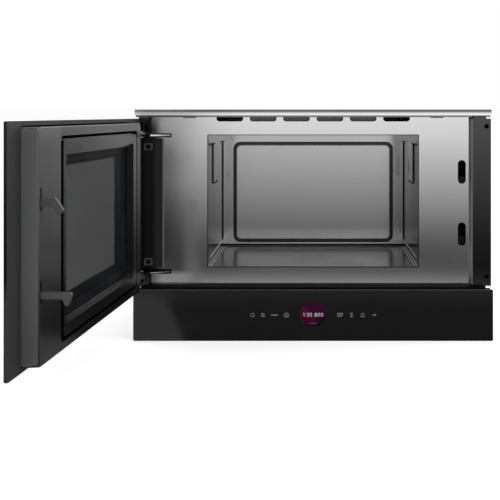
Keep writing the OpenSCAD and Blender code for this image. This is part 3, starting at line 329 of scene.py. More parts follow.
def brushed_steel(name, tone, rough, run=(3, 3, 900), edge=0.0004):
    """Steel with fine streaks along one direction and faint cloudy marks."""
    steel = Finish(name, {"Metallic": 1.0})
    place = steel.place()
    streak = steel.noise(place, run, 3.0)
    cloud = steel.noise(place, (9, 9, 9), 3.0)
    steel.set("Base Color", steel.tint(streak, rgb(tone * 0.95), rgb(tone * 1.04)))
    steel.set("Roughness", rough + (streak - 0.5) * 0.04 + (cloud - 0.5) * 0.03)
    steel.surface(streak, 0.000002, edge)
    return steel.material


def trim_finish():
    """Polished strip, painted bright on its lower face, with painted shade on its upper band and on the lip in the
    gap behind it.
    """
    steel = Finish("trim_steel", {"Metallic": 1.0})
    place = steel.place()
    streak = steel.noise(place, (3, 3, 900), 3.0)
    # Painted shade: the lip in the gap behind the strip and the strip's upper band are darker, and the lower face
    # is painted bright
    lip_shade = steel.between(place.axis("Y"), 0.0015, 0.0025)
    shaded_upper_band = steel.between(place.axis("Z"), 0.3624, 0.3642)
    sheet = steel.tint(shaded_upper_band, rgb(1.0), steel.tint(streak, rgb(0.38), rgb(0.42)))
    steel.set("Base Color", steel.tint(lip_shade, sheet, rgb(0.2)))
    near = steel.between(place.axis("X"), -0.18, -0.25)
    steel.set("Roughness", 0.13 + near * 0.25 + (streak - 0.5) * 0.06)
    steel.surface(streak, 0.000002, 0.0003)
    return steel.material


def back_wall_steel():
    """Steel of the cavity's back wall, with painted shade in its pressed groove."""
    steel = Finish("cavity_wall_steel", {"Metallic": 1.0})
    place = steel.place()
    streak = steel.noise(place, (500, 500, 4), 3.0)
    # Painted shade: the pressed groove is darkened
    groove_shade = steel.between(steel.inside(place, GROOVE, 0.014), 0.0002, -0.0002)
    groove_shade = groove_shade * steel.between(steel.inside(place, GROOVE_INNER, 0.009), -0.0002, 0.0002)
    sheet = steel.tint(streak, rgb(0.515), rgb(0.535))
    steel.set("Base Color", steel.tint(groove_shade, sheet, rgb(0.04)))
    foot = steel.between(place.axis("Z"), 0.135, 0.108)
    steel.set("Roughness", 0.12 + foot * 0.16 + (streak - 0.5) * 0.02)
    steel.surface(streak, 0.000001, 0.0008)
    return steel.material


def galvanised(name, tone=0.55):
    """Zinc coating with its crystal spangle."""
    zinc = Finish(name, {"Metallic": 0.9})
    place = zinc.place()
    crystal = zinc.cells(place, (90, 90, 90), 1).axis("X")
    haze = zinc.noise(place, (30, 30, 30), 4.0)
    zinc.set("Base Color", zinc.tint(crystal, rgb(tone * 0.88), rgb((tone, tone * 1.02, tone * 1.04))))
    zinc.set("Roughness", 0.36 + crystal * 0.14 + (haze - 0.5) * 0.1)
    zinc.surface(crystal + haze * 0.5, 0.00002, 0.0003)
    return zinc.material


def painted(name, tone, rough, edge=0.0004, index=1.5):
    """Satin paint with a light orange peel."""
    paint = Finish(name, {"IOR": index})
    place = paint.place()
    peel = paint.noise(place, (420, 420, 420), 2.0)
    dust = paint.noise(place, (16, 16, 16), 5.0)
    low = [t * 0.88 for t in tone]
    paint.set("Base Color", paint.tint(dust, rgb(low), rgb(tone)))
    paint.set("Roughness", rough + (dust - 0.5) * 0.1)
    paint.surface(peel, 0.000004, edge)
    return paint.material


def moulded(name, tone, rough, grain=0.00003, edge=0.0005, index=1.5):
    """Moulded plastic with a fine even grain."""
    plastic = Finish(name, {"IOR": index})
    place = plastic.place()
    pits = plastic.noise(place, (1800, 1800, 1800), 1.0)
    flow = plastic.noise(place, (7, 7, 12), 3.0)
    low = [t * 0.9 for t in tone]
    plastic.set("Base Color", plastic.tint(flow, rgb(low), rgb(tone)))
    plastic.set("Roughness", rough + (pits - 0.5) * 0.12 + (flow - 0.5) * 0.06)
    plastic.surface(pits, grain, edge)
    return plastic.material


def hinge_cover_finish():
    """Black moulding, a little lighter on its right step and on the two screw bosses."""
    plastic = Finish("cover_black", {"IOR": 1.2})
    place = plastic.place()
    pits = plastic.noise(place, (1800, 1800, 1800), 1.0)
    screw_x, middle, reach = screw_row("left_cabinet_screws")
    across = abs(place.axis("X") - screw_x)
    along = abs(abs(place.axis("Z") - middle) - reach)
    boss = plastic.between(across.top(along + 0.001), 0.0069, 0.0065)
    inner = plastic.between(across.top(along + 0.001), 0.0062, 0.0056)
    base = plastic.tint(pits, rgb(0.0055), rgb((0.0065, 0.0067, 0.0071)))
    right_step = plastic.between(place.axis("X"), -0.2635, -0.2625)
    base = plastic.tint(right_step, base, rgb(0.013))
    base = plastic.tint(boss, base, rgb(0.09))
    plastic.set("Base Color", plastic.tint(inner, base, rgb(0.04)))
    plastic.set("Roughness", 0.4 + (pits - 0.5) * 0.12)
    plastic.surface(pits, 0.00003, 0.0005)
    return plastic.material


def door_moulding():
    """Satin black moulding of the door, with matte black painted shade in its seam and on its top, and painted
    light on part of its face and on its free side, lighter upwards.
    """
    plastic = Finish("door_black", {"IOR": 1.6})
    place = closed_place(plastic)
    pits = plastic.noise(place, (1800, 1800, 1800), 1.0)
    flow = plastic.noise(place, (7, 7, 12), 3.0)
    # Painted shade: the seam and the top face go matte black
    seam_shade = plastic.between(plastic.inside(place, SEAM, 0.012), 0.0002, -0.0002)
    seam_shade = seam_shade * plastic.between(plastic.inside(place, SEAM_INNER, 0.010), -0.0002, 0.0002)
    top = plastic.between(place.axis("Z"), 0.3458, 0.3462)
    # Painted light: the free side gets lighter upwards, and part of the face is lighter
    lit_free_side = plastic.between(place.axis("X"), 0.2546, 0.2552)
    lit_face = plastic.between(place.axis("X"), 0.1797, 0.1803) * plastic.between(place.axis("Z"), 0.09, 0.27)
    base = plastic.tint(flow, rgb((0.0048, 0.0049, 0.0052)), rgb((0.0062, 0.0063, 0.0067)))
    base = plastic.tint(lit_face, base, rgb((0.050, 0.051, 0.053)))
    height = plastic.between(place.axis("Z"), 0.08, 0.2)
    free_side_light = plastic.tint(height, rgb((0.060, 0.061, 0.063)), rgb((0.085, 0.087, 0.089)))
    plastic.set("Base Color", plastic.tint(lit_free_side, base, free_side_light))
    plastic.set("Roughness", 0.22 + lit_free_side * 0.2 + (pits - 0.5) * 0.1)
    plastic.surface(pits, 0.00001, 0.0003)
    plastic.dull(seam_shade.top(top), 0.0015)
    return plastic.material


def hinge_arm_finish():
    """Hinge arms: bright along their middle, with a painted highlight at their left end that fades to the right,
    and matte black painted shade at their edges and inside the flange.
    """
    steel = Finish("hinge_arm", {"Metallic": 1.0})
    place = steel.place()
    x = place.axis("X")
    streak = steel.noise(place, (40, 40, 1500), 3.0)
    height = abs(abs(place.axis("Z") - HINGE_MIDDLE) - ARM_REACH)
    # Painted highlight towards the arm's left end
    lit_end = steel.between(x, -0.243, -0.266)
    steel.set("Base Color", steel.tint(lit_end, rgb(0.35), steel.tint(streak, rgb(0.85), rgb(0.95))))
    steel.set("Roughness", 0.25 + (streak - 0.5) * 0.06)
    steel.surface(streak, 0.000002, 0.0002)
    # Painted shade: matte black at the edges and inside the flange
    edge_shade = steel.between(height, 0.0012, 0.0016)
    flange_shade = steel.between(x, -0.2700, -0.2710)
    steel.dull(edge_shade.top(flange_shade), 0.006)
    return steel.material


def front_plate_finish():
    """Polished plate with painted shade: darker at its rim, notch and right side, along its left edge and low
    corner beside the hinge cover, and dull black on its left fold.
    """
    steel = Finish("plate_steel", {"Metallic": 1.0})
    place = steel.place()
    x = place.axis("X")
    z = place.axis("Z")
    streak = steel.noise(place, (10, 10, 2600), 3.0)
    cloud = steel.noise(place, (9, 9, 9), 3.0)
    # Painted shade: the right side, the low left corner, the notch and the rim of the opening are darker
    side = steel.between(x, 0.2604, 0.2608)
    near_cover = steel.between(x, -0.180, -0.225)
    low_corner_shade = steel.between(x, -0.188, -0.228) * steel.between(z, 0.27, 0.11)
    low_corner_shade = low_corner_shade * steel.between(z, 0.089, 0.101)
    notch_shade = steel.between(abs(x + 0.2519), 0.0026, 0.0020)
    notch_shade = notch_shade * steel.between(abs(z - 0.21), 0.1105, 0.1095)
    rim_shade = steel.between(steel.inside(place, OPENING, 0.0005), 0.0010, 0.0003)
    sheet = steel.tint(streak, rgb(0.65), rgb(0.71))
    # Painted shade: the strip beside the hinge cover is darker
    sheet = steel.tint(steel.between(x, -0.250, -0.272), sheet, rgb(0.25))
    sheet = steel.tint(low_corner_shade, sheet, rgb(0.155))
    sheet = steel.tint(rim_shade, sheet, rgb(0.14))
    sheet = steel.tint(side, sheet, rgb(0.4))
    steel.set("Base Color", steel.tint(notch_shade, sheet, rgb(0.17)))
    rough = 0.07 + side * 0.4 + near_cover * 0.11 + notch_shade * 0.2
    steel.set("Roughness", rough + (streak - 0.5) * 0.04 + (cloud - 0.5) * 0.03)
    steel.surface(streak, 0.000002, 0.0003)
    # Painted shade: matte black on the left fold
    left_fold_shade = steel.between(x, -0.2712, -0.2716)
    steel.dull(left_fold_shade, 0.01)
    return steel.material


def printed_glass(name):
    """Polished glass with a black print behind it and the faintest smears."""
    glass = Finish(name, {"IOR": 1.5, "Specular IOR Level": 0.5})
    place = glass.place()
    smear = glass.noise(place, (14, 14, 40), 4.0)
    glass.set("Base Color", glass.tint(smear, rgb(0.0055), rgb((0.0075, 0.0075, 0.008))))
    glass.set("Roughness", glass.between(smear, 0.35, 0.8, 0.03, 0.07))
    glass.surface(None, 0, 0.0005)
    return glass


def panel_glass_finish():
    """Black panel glass with a lighter ground edge along its top."""
    glass = printed_glass("panel_black_glass")
    ground = glass.between(glass.place().axis("Z"), panel_high.z - 0.0011, panel_high.z - 0.0007)
    glass.set("Base Color", glass.tint(ground, rgb(0.0015), rgb(0.05)))
    return glass.material


def door_window_glass():
    """Outer glass of the door: black print round a dark tinted window, the print on its back face with painted
    shade that darkens it towards the foot.
    """
    glass = printed_glass("door_black_glass")
    place = closed_place(glass)
    side = WINDOW_HALF_WIDTH - abs(place.axis("X"))
    height = WINDOW_HALF_HEIGHT - abs(place.axis("Z") - WINDOW_MIDDLE)
    window = glass.between(side.low(height), -0.0004, 0.0004)
    glass.set("Alpha", 1.0 - window * 0.57)
    print_side = glass.between(place.axis("Y"), -0.0166, -0.0162)
    grain = glass.noise(place, (700, 700, 700), 2.0)
    # Painted shade: the print darkens towards the foot
    print_and_shade = glass.tint(glass.between(place.axis("Z"), 0.0, 0.12), rgb(0.002), rgb(0.024))
    glass.set("Base Color", glass.tint(print_side, rgb(0.0065), print_and_shade))
    glass.set("Roughness", 0.04 + print_side * (0.42 + grain * 0.1))
    return glass.material


def tinted_pane():
    """Inner pane, clear with a light tint and little gloss."""
    pane = Finish("pane_glass", {"Base Color": rgb((0.012, 0.013, 0.015)), "IOR": 1.06})
    smear = pane.noise(pane.place(), (20, 20, 30), 4.0)
    pane.set("Roughness", pane.between(smear, 0.35, 0.85, 0.03, 0.08))
    pane.set("Alpha", 0.4 + (smear - 0.5) * 0.06)
    return pane.material


def from_dots(x, z, pitch, rows):
    """Distance from the nearest of a grid of points."""
    across = x.repeat(pitch)
    along = z.repeat(rows)
    return (across * across + along * along).root()


def perforated_screen():
    """Painted sheet with round holes in staggered rows, where the pitch is from hole to hole."""
    screen = Finish("screen_grey", {"Metallic": 0.3})
    place = closed_place(screen)
    x = place.axis("X")
    z = place.axis("Z")
    pitch = 0.002
    rows = pitch * 1.732
    straight = from_dots(x, z, pitch, rows)
    shifted = from_dots(x + pitch / 2, z + rows / 2, pitch, rows)
    hole = screen.between(straight.low(shifted), 0.00068, 0.00078)
    haze = screen.noise(place, (60, 60, 60), 3.0)
    screen.set("Alpha", hole)
    screen.set("Base Color", screen.tint(haze, rgb((0.04, 0.043, 0.048)), rgb((0.055, 0.06, 0.066))))
    screen.set("Roughness", 0.4 + haze * 0.15)
    return screen.material


def display_glass():
    """Lit round display, in facets of purple and crimson that darken to its lower edge."""
    glass = Finish("display", {"IOR": 1.15, "Roughness": 0.06, "Emission Strength": 1.0})
    place = glass.place()
    x = place.axis("X") * 1000
    z = (place.axis("Z") - display_z) * 1000
    wedge = glass.between(z + x * 0.85 - 0.5, -1.2, 1.2)
    left = glass.between(x + z * 0.35, -9.0, 4.0)
    base = glass.tint(left, rgb((0.058, 0.003, 0.027)), rgb((0.036, 0.0018, 0.018)))
    base = glass.tint(wedge, base, rgb((0.027, 0.0022, 0.017)))
    ruby = glass.between(z + x * 0.2, -4.0, -9.0) * glass.between(x, 3.0, -3.0)
    base = glass.tint(ruby, base, rgb((0.040, 0.0015, 0.010)))
    violet = glass.between(z - x * 0.3, -3.0, -12.0) * glass.between(x, 0.0, 6.0)
    base = glass.tint(violet, base, rgb((0.012, 0.0015, 0.009)))
    dark = glass.between(z, -14.0, -20.5)
    base = glass.tint(dark, base, rgb((0.0035, 0.002, 0.004)))
    glass.set("Base Color", rgb(0.001))
    glass.set("Emission Color", base)
    glass.surface(None, 0, 0.0003)
    return glass.material


def plain_lit(name, tone, glow):
    """White print that is lit from behind."""
    lit = Finish(name, {"Roughness": 0.5, "Emission Strength": glow})
    grain = lit.noise(lit.place(), (900, 900, 900), 2.0)
    lit.set("Base Color", lit.tint(grain, rgb(tone * 0.92), rgb(tone)))
    lit.set("Emission Color", lit.tint(grain, rgb(0.92), rgb(1.0)))
    return lit.material


def glass_ceramic():
    """Smooth dark cavity floor with a faint speckle."""
    floor = Finish("glass_ceramic", {"IOR": 1.24})
    place = floor.place()
    speck = floor.between(floor.noise(place, (1400, 1400, 1400), 1.0), 0.6, 0.72)
    wipe = floor.noise(place, (14, 26, 14), 4.0)
    floor.set("Base Color", floor.tint(speck, rgb((0.016, 0.0165, 0.0175)), rgb(0.05)))
    floor.set("Roughness", floor.between(wipe, 0.3, 0.8, 0.2, 0.27))
    floor.surface(None, 0, 0.0006)
    return floor.material


def rubber(name, low, high):
    """Matte silicone with a dusty bloom."""
    seal = Finish(name, {"IOR": 1.45})
    bloom = seal.noise(seal.place(), (160, 160, 160), 4.0)
    seal.set("Base Color", seal.tint(bloom, rgb(low), rgb(high)))
    seal.set("Roughness", 0.65 + bloom * 0.2)
    seal.surface(bloom, 0.00004, 0.0004)
    return seal.material


def ceramic(name, tone, rough):
    """Fired ceramic with small pits and a warm cast."""
    fired = Finish(name, {"IOR": 1.55})
    place = fired.place()
    pit = fired.between(fired.cells(place, (500, 500, 500)), 0.0, 0.35)
    warm = fired.noise(place, (40, 40, 40), 4.0)
    low = [t * 0.8 for t in tone]
    fired.set("Base Color", fired.tint(warm, rgb(low), rgb(tone)))
    fired.set("Roughness", rough + (warm - 0.5) * 0.15)
    fired.surface(pit, 0.00003, 0.0004)
    return fired.material


def circuit_board(name):
    """Green lacquer over copper tracks, with plated holes."""
    board = Finish(name, {"IOR": 1.5})
    place = board.place()
    x = place.axis("X")
    long = place.axis("Y") + place.axis("Z")
    upright = board.cells(place, (45, 45, 45), 1).axis("X") > 0.5
    across = board.between(x.repeat(0.0032), 0.0004, 0.0006)
    along = board.between(long.repeat(0.0041), 0.0004, 0.0006)
    track = across + (along - across) * upright
    hole = board.between(from_dots(x, long, 0.0064, 0.0082), 0.0009, 0.0006)
    green = board.tint(track, rgb((0.04, 0.17, 0.075)), rgb((0.018, 0.085, 0.04)))
    board.set("Base Color", board.tint(hole, green, rgb((0.5, 0.46, 0.38))))
    board.set("Metallic", hole * 0.9)
    board.set("Roughness", 0.3 + track * 0.08)
    board.surface(track, 0.00003, 0.0002)
    return board.material


def winding(name):
    """Enamelled copper wire laid turn by turn round the X axis."""
    wire = Finish(name, {"Metallic": 0.85})
    place = wire.place()
    pitch = 0.0011
    turn = place.axis("X").repeat(pitch) * (2 / pitch)
    round_top = (1.0 - (1.0 - turn) * (1.0 - turn)).top(0.0).root()
    tone = wire.noise(place, (120, 120, 120), 2.0)
    wire.set("Base Color", wire.tint(tone, rgb((0.45, 0.17, 0.06)), rgb((0.62, 0.27, 0.1))))
    wire.set("Roughness", 0.22 + tone * 0.12)
    wire.surface(round_top, 0.0005, 0.0002)
    return wire.material


def lacquered(name, tone):
    """Dipped lacquer of a capacitor."""
    dip = Finish(name, {"IOR": 1.5, "Coat Roughness": 0.1})
    dimple = dip.noise(dip.place(), (110, 110, 110), 3.0)
    low = [t * 0.75 for t in tone]
    dip.set("Base Color", dip.tint(dimple, rgb(low), rgb(tone)))
    dip.set("Roughness", 0.25 + dimple * 0.15)
    dip.set("Coat Weight", 0.4)
    dip.surface(dimple, 0.00015, 0.0008)
    return dip.material


trim_steel = trim_finish()
plate_steel = front_plate_finish()
cavity_steel = brushed_steel("cavity_steel", 0.345, 0.2, (500, 500, 4))
wall_steel = back_wall_steel()
hinge_arm = hinge_arm_finish()
hinge_steel = brushed_steel("hinge_steel", 0.2, 0.35, (40, 40, 1500), 0.0003)
hook_grey = brushed_steel("hook_grey", 0.15, 0.38, (60, 60, 60), 0.0004)
screw_steel = brushed_steel("screw_steel", 0.42, 0.34, (700, 40, 700), 0.0002)
spring_steel = brushed_steel("spring_steel", 0.5, 0.3, (90, 90, 2200), 0.0001)
fin_aluminium = brushed_steel("fin_aluminium", 0.72, 0.36, (900, 12, 12), 0.0002)
zinc = galvanised("galvanised")
flange_black = painted("flange_black", (0.0014, 0.0015, 0.0016), 0.07, index=1.7)
cover_black = hinge_cover_finish()
door_black = door_moulding()
inner_black = moulded("inner_black", (0.03, 0.03, 0.033), 0.5)
guide_grey = moulded("guide_grey", (0.12, 0.12, 0.123), 0.4)
joint_black = moulded("joint_black", (0.004, 0.004, 0.0043), 0.6, index=1.08)
rail_steel = brushed_steel("rail_steel", 0.85, 0.25, (900, 4, 900), 0.0003)
seal_grey = rubber("seal_grey", 0.24, 0.30)
latch_black = moulded("latch_black", (0.006, 0.006, 0.0065), 0.5, index=1.2)
inner_white = moulded("inner_white", (0.72, 0.7, 0.65), 0.45)
lamp_ceramic = ceramic("lamp_ceramic", (0.8, 0.76, 0.68), 0.55)
lamp_glass = moulded("lamp_glass", (0.012, 0.012, 0.013), 0.15)
ferrite = ceramic("ferrite", (0.045, 0.045, 0.048), 0.5)
copper = winding("copper")
board_green = circuit_board("board_green")
capacitor_red = lacquered("capacitor_red", (0.5, 0.07, 0.045))
contact_gold = brushed_steel("contact_gold", 0.6, 0.25, (300, 300, 300), 0.0002)
silicone = rubber("silicone", 0.014, 0.03)
panel_black_glass = panel_glass_finish()
door_black_glass = door_window_glass()
display = display_glass()
pane_glass = tinted_pane()
screen_grey = perforated_screen()
floor_glass = glass_ceramic()
lit_white = plain_lit("lit_white", 0.7, 0.75)
symbol_grey = plain_lit("symbol_grey", 0.3, 0.06)

FINISHES = {
    "top_trim": trim_steel,
    "front_plate": plate_steel,
    "side_flange_right": flange_black,
    "side_flange_left": flange_black,
    "hinge_cover": cover_black,
    "hinge_bracket_upper": hinge_arm,
    "hinge_bracket_lower": hinge_arm,
    "outer_casing": zinc,
    "base_plate": zinc,
    "rear_panel": zinc,
    "front_crossbar": joint_black,
    "casing_screws": screw_steel,
    "cavity_wrap": cavity_steel,
    "cavity_back_wall": wall_steel,
    "cavity_floor": cavity_steel,
    "floor_plate": floor_glass,
    "floor_seal": seal_grey,
    "cavity_lamp": lamp_glass,
    "thermal_cutout": inner_black,
    "exhaust_guide": zinc,
    "waveguide": zinc,
    "antenna_motor": inner_white,
    "magnetron_frame": zinc,
    "magnetron_anode": fin_aluminium,
    "magnetron_magnets": ferrite,
    "magnetron_antenna": lamp_ceramic,
    "magnetron_filter_box": zinc,
    "fan_frame": inner_black,
    "fan_motor": inner_black,
    "air_duct": inner_white,
    "inverter_board": board_green,
    "inverter_heat_sink": fin_aluminium,
    "inverter_transformer": ferrite,
    "inverter_capacitors": capacitor_red,
    "mains_filter": board_green,
    "power_inlet": inner_black,
    "latch_housing": latch_black,
    "interlock_switches": inner_black,
    "panel_glass": panel_black_glass,
    "display_lens": display,
    "panel_carrier": joint_black,
    "control_board": board_green,
    "touch_pads": contact_gold,
    "door_glass": door_black_glass,
    "door_frame": door_black,
    "choke_cover": door_black,
    "door_choke": zinc,
    "door_gasket": silicone,
    "door_pane": pane_glass,
    "door_screen": screen_grey,
    "hinge_leaf_upper": hinge_steel,
    "hinge_leaf_lower": hinge_steel,
    "hinge_pins": screw_steel,
    "latch_spring": spring_steel,
    "latch_bar": hook_grey,
    "fan_impeller": inner_black,
    "rotating_antenna": fin_aluminium,
}

for name, finish in FINISHES.items():
    for slot in frame["nodes"][name].material_slots:
        slot.material = finish


# Small parts that show in the corners and through the holes

FRONT = (0, -1, 0)
BACK = (0, 1, 0)
UP = (0, 0, 1)
TURN_SIDES = 32


def link_piece(name, verts, faces, finish, smooth=False):
    """Makes a piece of the housing from points in metres."""
    mesh = bpy.data.meshes.new(name)
    mesh.from_pydata(verts, [], faces)
    mesh.materials.append(finish)
    if smooth:
        mesh.shade_smooth()
    piece = bpy.data.objects.new(name, mesh)
    scene.collection.objects.link(piece)
    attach(piece, "housing")


def turned(name, centre, profile, finish):
    """Piece turned about a line from front to back through its centre, profile in millimetres."""
    verts, faces = [], []
    for radius, y in profile:
        for k in range(TURN_SIDES):
            turn = math.tau * k / TURN_SIDES
            verts.append((centre[0] + radius / 1000 * math.cos(turn), centre[1] + y / 1000,
                          centre[2] + radius / 1000 * math.sin(turn)))
    for i in range(len(profile) - 1):
        here = i * TURN_SIDES
        ahead = here + TURN_SIDES
        for k in range(TURN_SIDES):
            m = (k + 1) % TURN_SIDES
            faces.append((here + k, here + m, ahead + m, ahead + k))
    link_piece(name, verts, faces, finish, True)


def swept(name, path, profile, finish, closed=False):
    """Piece with one profile, in millimetres, along a path whose corners each give its two directions."""
    verts = [tuple(Vector(p) + Vector(u) * a / 1000 + Vector(w) * b / 1000)
             for p, u, w in path for a, b in profile]
    n = len(profile)
    count = len(path)
    faces = [(i * n + k, i * n + (k + 1) % n, (i + 1) % count * n + (k + 1) % n, (i + 1) % count * n + k)
             for i in range(count if closed else count - 1) for k in range(n)]
    if not closed:
        faces += [tuple(range(n - 1, -1, -1)), tuple(range(len(verts) - n, len(verts)))]
    link_piece(name, verts, faces, finish)


def wall_line(name, side, x, front, back, z, profile, finish):
    """Level strip from front to back along one side wall."""
    path = [((side * x, y, z), (-side, 0, 0), UP) for y in (front, back)]
    swept(name, path, profile, finish)


def wall_upright(name, side, y, foot, top, facing, profile):
    """Upright black strip on one side wall, standing in for shade."""
    path = [((side * wall_x, y, z), (-side, 0, 0), facing) for z in (foot, top)]
    swept(name, path, profile, joint_black)


# Black strip in the joint between the back wall and the floor, standing in for the shade in that corner
STRIP = [(0, 0), (3.6, 0), (3.6, 0.6), (3.2, 1.0), (0.4, 1.0), (0, 0.6)]
swept("wall_joint_low", [((x, back_y, floor_z), UP, FRONT) for x in (-wall_x, wall_x)],
      STRIP, joint_black)

# On both side walls: black strips standing in for shade, up the back corner's joint with a tick at its top, in the
# louvre's mouth and along its fold at its top and foot; and the fine ribs of the floor tray
BEAD = [(0, 0), (2.0, 0), (1.5, 0.3), (0.9, 0.8), (0.3, 1.5), (0, 2.0)]
ROUND = [(0, 0), (1.1, 0), (1.0, 0.5), (0.7, 0.9), (0, 1.1)]
CREASE = [(0, 0), (1.3, 0.2), (1.4, 1.0), (1.2, 1.7), (0, 1.9)]
MOUTH = [(0, -6), (1.2, -6), (1.3, -5.4), (1.3, 5.4), (1.2, 6), (0, 6)]
JOINT_FOOT = 0.1152
JOINT_TOP = 0.3075
TICK_FRONT = 0.222
LOUVRE_FOOT = 0.2395
mouth_y = 0.101
rib_z = floor_z - 0.0004
folds = [(0.3072, 0.046, mouth_y), (0.2366, mouth_y, 0.172)]
ribs = [(wall_x, 0.1137, 0.052), (wall_x, rib_z, 0.012), (0.1722, rib_z, 0.012)]
for side, name in ((-1, "left"), (1, "right")):
    # Black strips painting shade along the back corner, the tick, the louvre's mouth and its folds
    wall_upright("wall_joint_" + name, side, back_y, JOINT_FOOT, JOINT_TOP, FRONT, BEAD)
    wall_line("wall_tick_" + name, side, wall_x, TICK_FRONT, back_y, JOINT_TOP - 0.0007, ROUND,
              joint_black)
    wall_upright("louvre_mouth_" + name, side, mouth_y, LOUVRE_FOOT, JOINT_TOP, BACK, MOUTH)
    for i, (z, front, back) in enumerate(folds):
        wall_line(f"louvre_fold_shade_{name}_{i + 1}", side, wall_x, front, back, z, CREASE,
                  joint_black)
    for i, (x, z, front) in enumerate(ribs):
        wall_line(f"tray_rib_{name}_{i + 1}", side, x, front, back_y, z, ROUND, rail_steel)

# Thin seal between the front plate and the cavity
RIM = [(0, 0), (1.1, 0.1), (1.1, 1.1), (0.8, 1.6), (0, 1.8)]
swept("opening_seal", [
    ((-wall_x, plate_back, roof_z), (1, 0, -1), BACK), ((-wall_x, plate_back, floor_z), (1, 0, 1), BACK),
    ((wall_x, plate_back, floor_z), (-1, 0, 1), BACK), ((wall_x, plate_back, roof_z), (-1, 0, -1), BACK),
], RIM, silicone, closed=True)

# Guide behind the four middle air slots
GUIDE = [(0, 0), (0.9, 0), (1.6, -6.5), (3.2, -16), (3.2, -22), (2.3, -22), (2.3, -16), (0.7, -6.5)]
GUIDE_END = 0.108
swept("slot_guide", [((x, plate_back + 0.0025, slot_roof), BACK, UP) for x in (-GUIDE_END, GUIDE_END)],
      GUIDE, guide_grey)

# Sockets behind the right flange's screw holes, and plugs in the hinge cover's bosses
SOCKET = [(0.01, 8.5), (5.6, 8.5), (5.6, 1.0), (5.0, 0.2), (3.4, 0.2), (3.0, 1.2), (2.2, 6.5), (0.01, 7.0)]
PLUG = [(0.01, 6.8), (3.4, 6.8), (3.4, 1.4), (3.0, 0.9), (2.6, 1.6), (1.8, 5.0), (0.01, 5.5)]
for name, screws, profile in (("mount_socket", "right_cabinet_screws", SOCKET),
                              ("cover_plug", "left_cabinet_screws", PLUG)):
    x, middle, reach = screw_row(screws)
    turned(name + "_low", (x, 0, middle - reach), profile, joint_black)
    turned(name + "_high", (x, 0, middle + reach), profile, joint_black)

# Grommets round the hinge arms
CUFF = [(0, 0), (3.35, 0), (3.35, 0.25), (3.1, 0.4), (-3.1, 0.4), (-3.35, 0.25), (-3.35, 0)]
CUFF_ENDS = (-0.2705, -0.2378)
CUFF_Y = 0.0061
for name, z in (("upper", 0.3247), ("lower", 0.0960)):
    swept("hinge_cuff_" + name, [((x, CUFF_Y, z), UP, FRONT) for x in CUFF_ENDS], CUFF,
          joint_black)


# Print on the control panel

KEY_DROP = -1.2
LETTER_GAP = 1.7


def ribbon(verts, faces, points, width, closed=False):
    """Adds one flat line of print through points given in millimetres."""
    count = len(points)
    start = len(verts)
    for i, (x, z) in enumerate(points):
        back = points[i - 1] if i or closed else points[i]
        ahead = points[(i + 1) % count] if i < count - 1 or closed else points[i]
        into = Vector((x, z)) - Vector(back)
        out = Vector(ahead) - Vector((x, z))
        into = into.normalized() if into.length else out.normalized()
        out = out.normalized() if out.length else into
        along = (into + out).normalized() if (into + out).length > 0.1 else out
        reach = width / 2 / max(along.dot(out), 0.5)
        side = Vector((-along.y, along.x)) * reach
        left = Vector((x, z)) + side
        right = Vector((x, z)) - side
        for p, y in ((left, -0.06), (right, -0.06), (right, 0.02), (left, 0.02)):
            verts.append((p.x / 1000, panel_low.y + y / 1000, display_z + p.y / 1000))
    for i in range(count if closed else count - 1):
        a = start + 4 * i
        b = start + 4 * ((i + 1) % count)
        for k in range(4):
            m = (k + 1) % 4
            faces.append((a + k, b + k, b + m, a + m))
    if not closed:
        end = start + 4 * (count - 1)
        faces.append((start + 3, start + 2, start + 1, start))
        faces.append((end, end + 1, end + 2, end + 3))


def arc(x, z, rx, rz, start, end, steps=20):
    """Points on an arc, in millimetres and degrees."""
    turn = [math.radians(start + (end - start) * i / steps) for i in range(steps + 1)]
    return [(x + rx * math.cos(a), z + rz * math.sin(a)) for a in turn]


def ring(x, z, rx, rz, steps=24):
    """Points round a whole oval, without the first one again."""
    return arc(x, z, rx, rz, 0, 360 - 360 / steps, steps - 1)


def print_piece(name, lines, x, z, width, finish, scale=1.0):
    """One printed sign, made of open and closed lines."""
    verts, faces = [], []
    for points, closed in lines:
        moved = [(x + px * scale, z + pz * scale) for px, pz in points]
        ribbon(verts, faces, moved, width, closed)
    link_piece(name, verts, faces, finish)


# Lines and width of each numeral, 6.4 mm high
NUMERALS = {
    "0": ([(ring(1.9, 3.2, 1.7, 3.0), True)], 3.8),
    "1": ([([(0.3, 4.9), (1.5, 6.2), (1.5, 0.2)], False)], 2.0),
    "3": ([(arc(1.75, 4.7, 1.5, 1.5, 150, -80) + arc(1.75, 1.75, 1.75, 1.6, 80, -150), False)], 3.7),
    "8": ([(ring(1.9, 4.75, 1.4, 1.45), True), (ring(1.9, 1.75, 1.7, 1.6), True)], 3.8),
    ":": ([([(0.3, 4.3), (0.3, 4.9)], False), ([(0.3, 1.5), (0.3, 2.1)], False)], 0.6),
    " ": ([], 1.4),
}


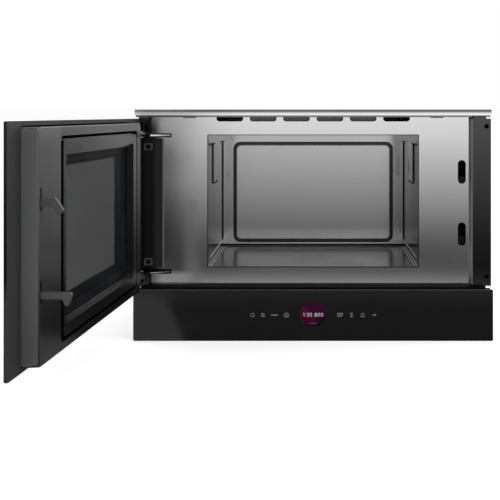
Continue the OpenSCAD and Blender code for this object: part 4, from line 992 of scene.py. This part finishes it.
def display_numerals():
    """A time and a power in plain numbers, with four short dashes below them."""
    lines, x = [], 0.0
    for kind in "1:30 800":
        strokes, width = NUMERALS[kind]
        lines += [([(px + x, pz) for px, pz in points], closed) for points, closed in strokes]
        x += width + LETTER_GAP
    print_piece("display_numerals", lines, -(x - LETTER_GAP) * 0.47, -3.8, 0.34, lit_white, 0.94)
    dashes = [([(-6.4 + 3.4 * i, 0), (-4.6 + 3.4 * i, 0)], False) for i in range(4)]
    print_piece("display_dashes", dashes, 0, -15.0, 0.5, symbol_grey)


display_numerals()

# Each key's place from the display's middle, and the lines of its symbol
WAVE = [(-3.1 + 0.31 * i, 0.55 * math.sin(i * math.pi / 5)) for i in range(21)]
SYMBOLS = {
    "power": (-100.2, [(arc(0, 0, 3.1, 3.1, 120, 420), False), ([(0, 0.9), (0, 3.9)], False)]),
    "waves": (-82.6, [([(x, z + s) for x, z in WAVE], False) for s in (-2.1, 0, 2.1)]),
    "bar": (-64.1, [([(-6.0, 0), (6.0, 0)], False)]),
    "dish": (-44.0, [
        ([(-4.3, 0.6), (-3.4, -3.0), (3.4, -3.0), (4.3, 0.6)], True),
        (arc(0, 1.2, 2.6, 2.4, 15, 165), False),
        ([(-1.2, -1.9), (1.2, -1.9)], False),
    ]),
    "plates": (44.3, [
        ([(-4.4, -0.2), (-0.6, -0.2), (-0.6, 3.0), (-4.4, 3.0)], True),
        ([(0.7, 0.6), (4.4, 0.6), (4.4, 3.0), (0.7, 3.0)], True),
        ([(-4.4, -2.4), (3.0, -2.4)], False),
        ([(1.4, -1.0), (4.2, -1.0)], False),
    ]),
    "timer": (63.3, [([(-2.2, 3.0), (2.2, 3.0), (-2.2, -3.0), (2.2, -3.0)], True)]),
    "bell": (81.9, [
        (arc(0, 0.3, 2.4, 2.6, 0, 180) + [(-2.4, -1.6), (-3.2, -2.3), (3.2, -2.3), (2.4, -1.6)], True),
        (arc(0, -2.7, 0.9, 0.9, 200, 340), False),
    ]),
    "start": (100.7, [([(-3.8, 0), (-0.8, 0)], False), ([(0.4, 1.5), (3.2, 0), (0.4, -1.5)], True)]),
}

for name, (x, lines) in SYMBOLS.items():
    width = 0.9 if name == "bar" else 0.5
    print_piece("symbol_" + name, lines, x, KEY_DROP, width, symbol_grey)
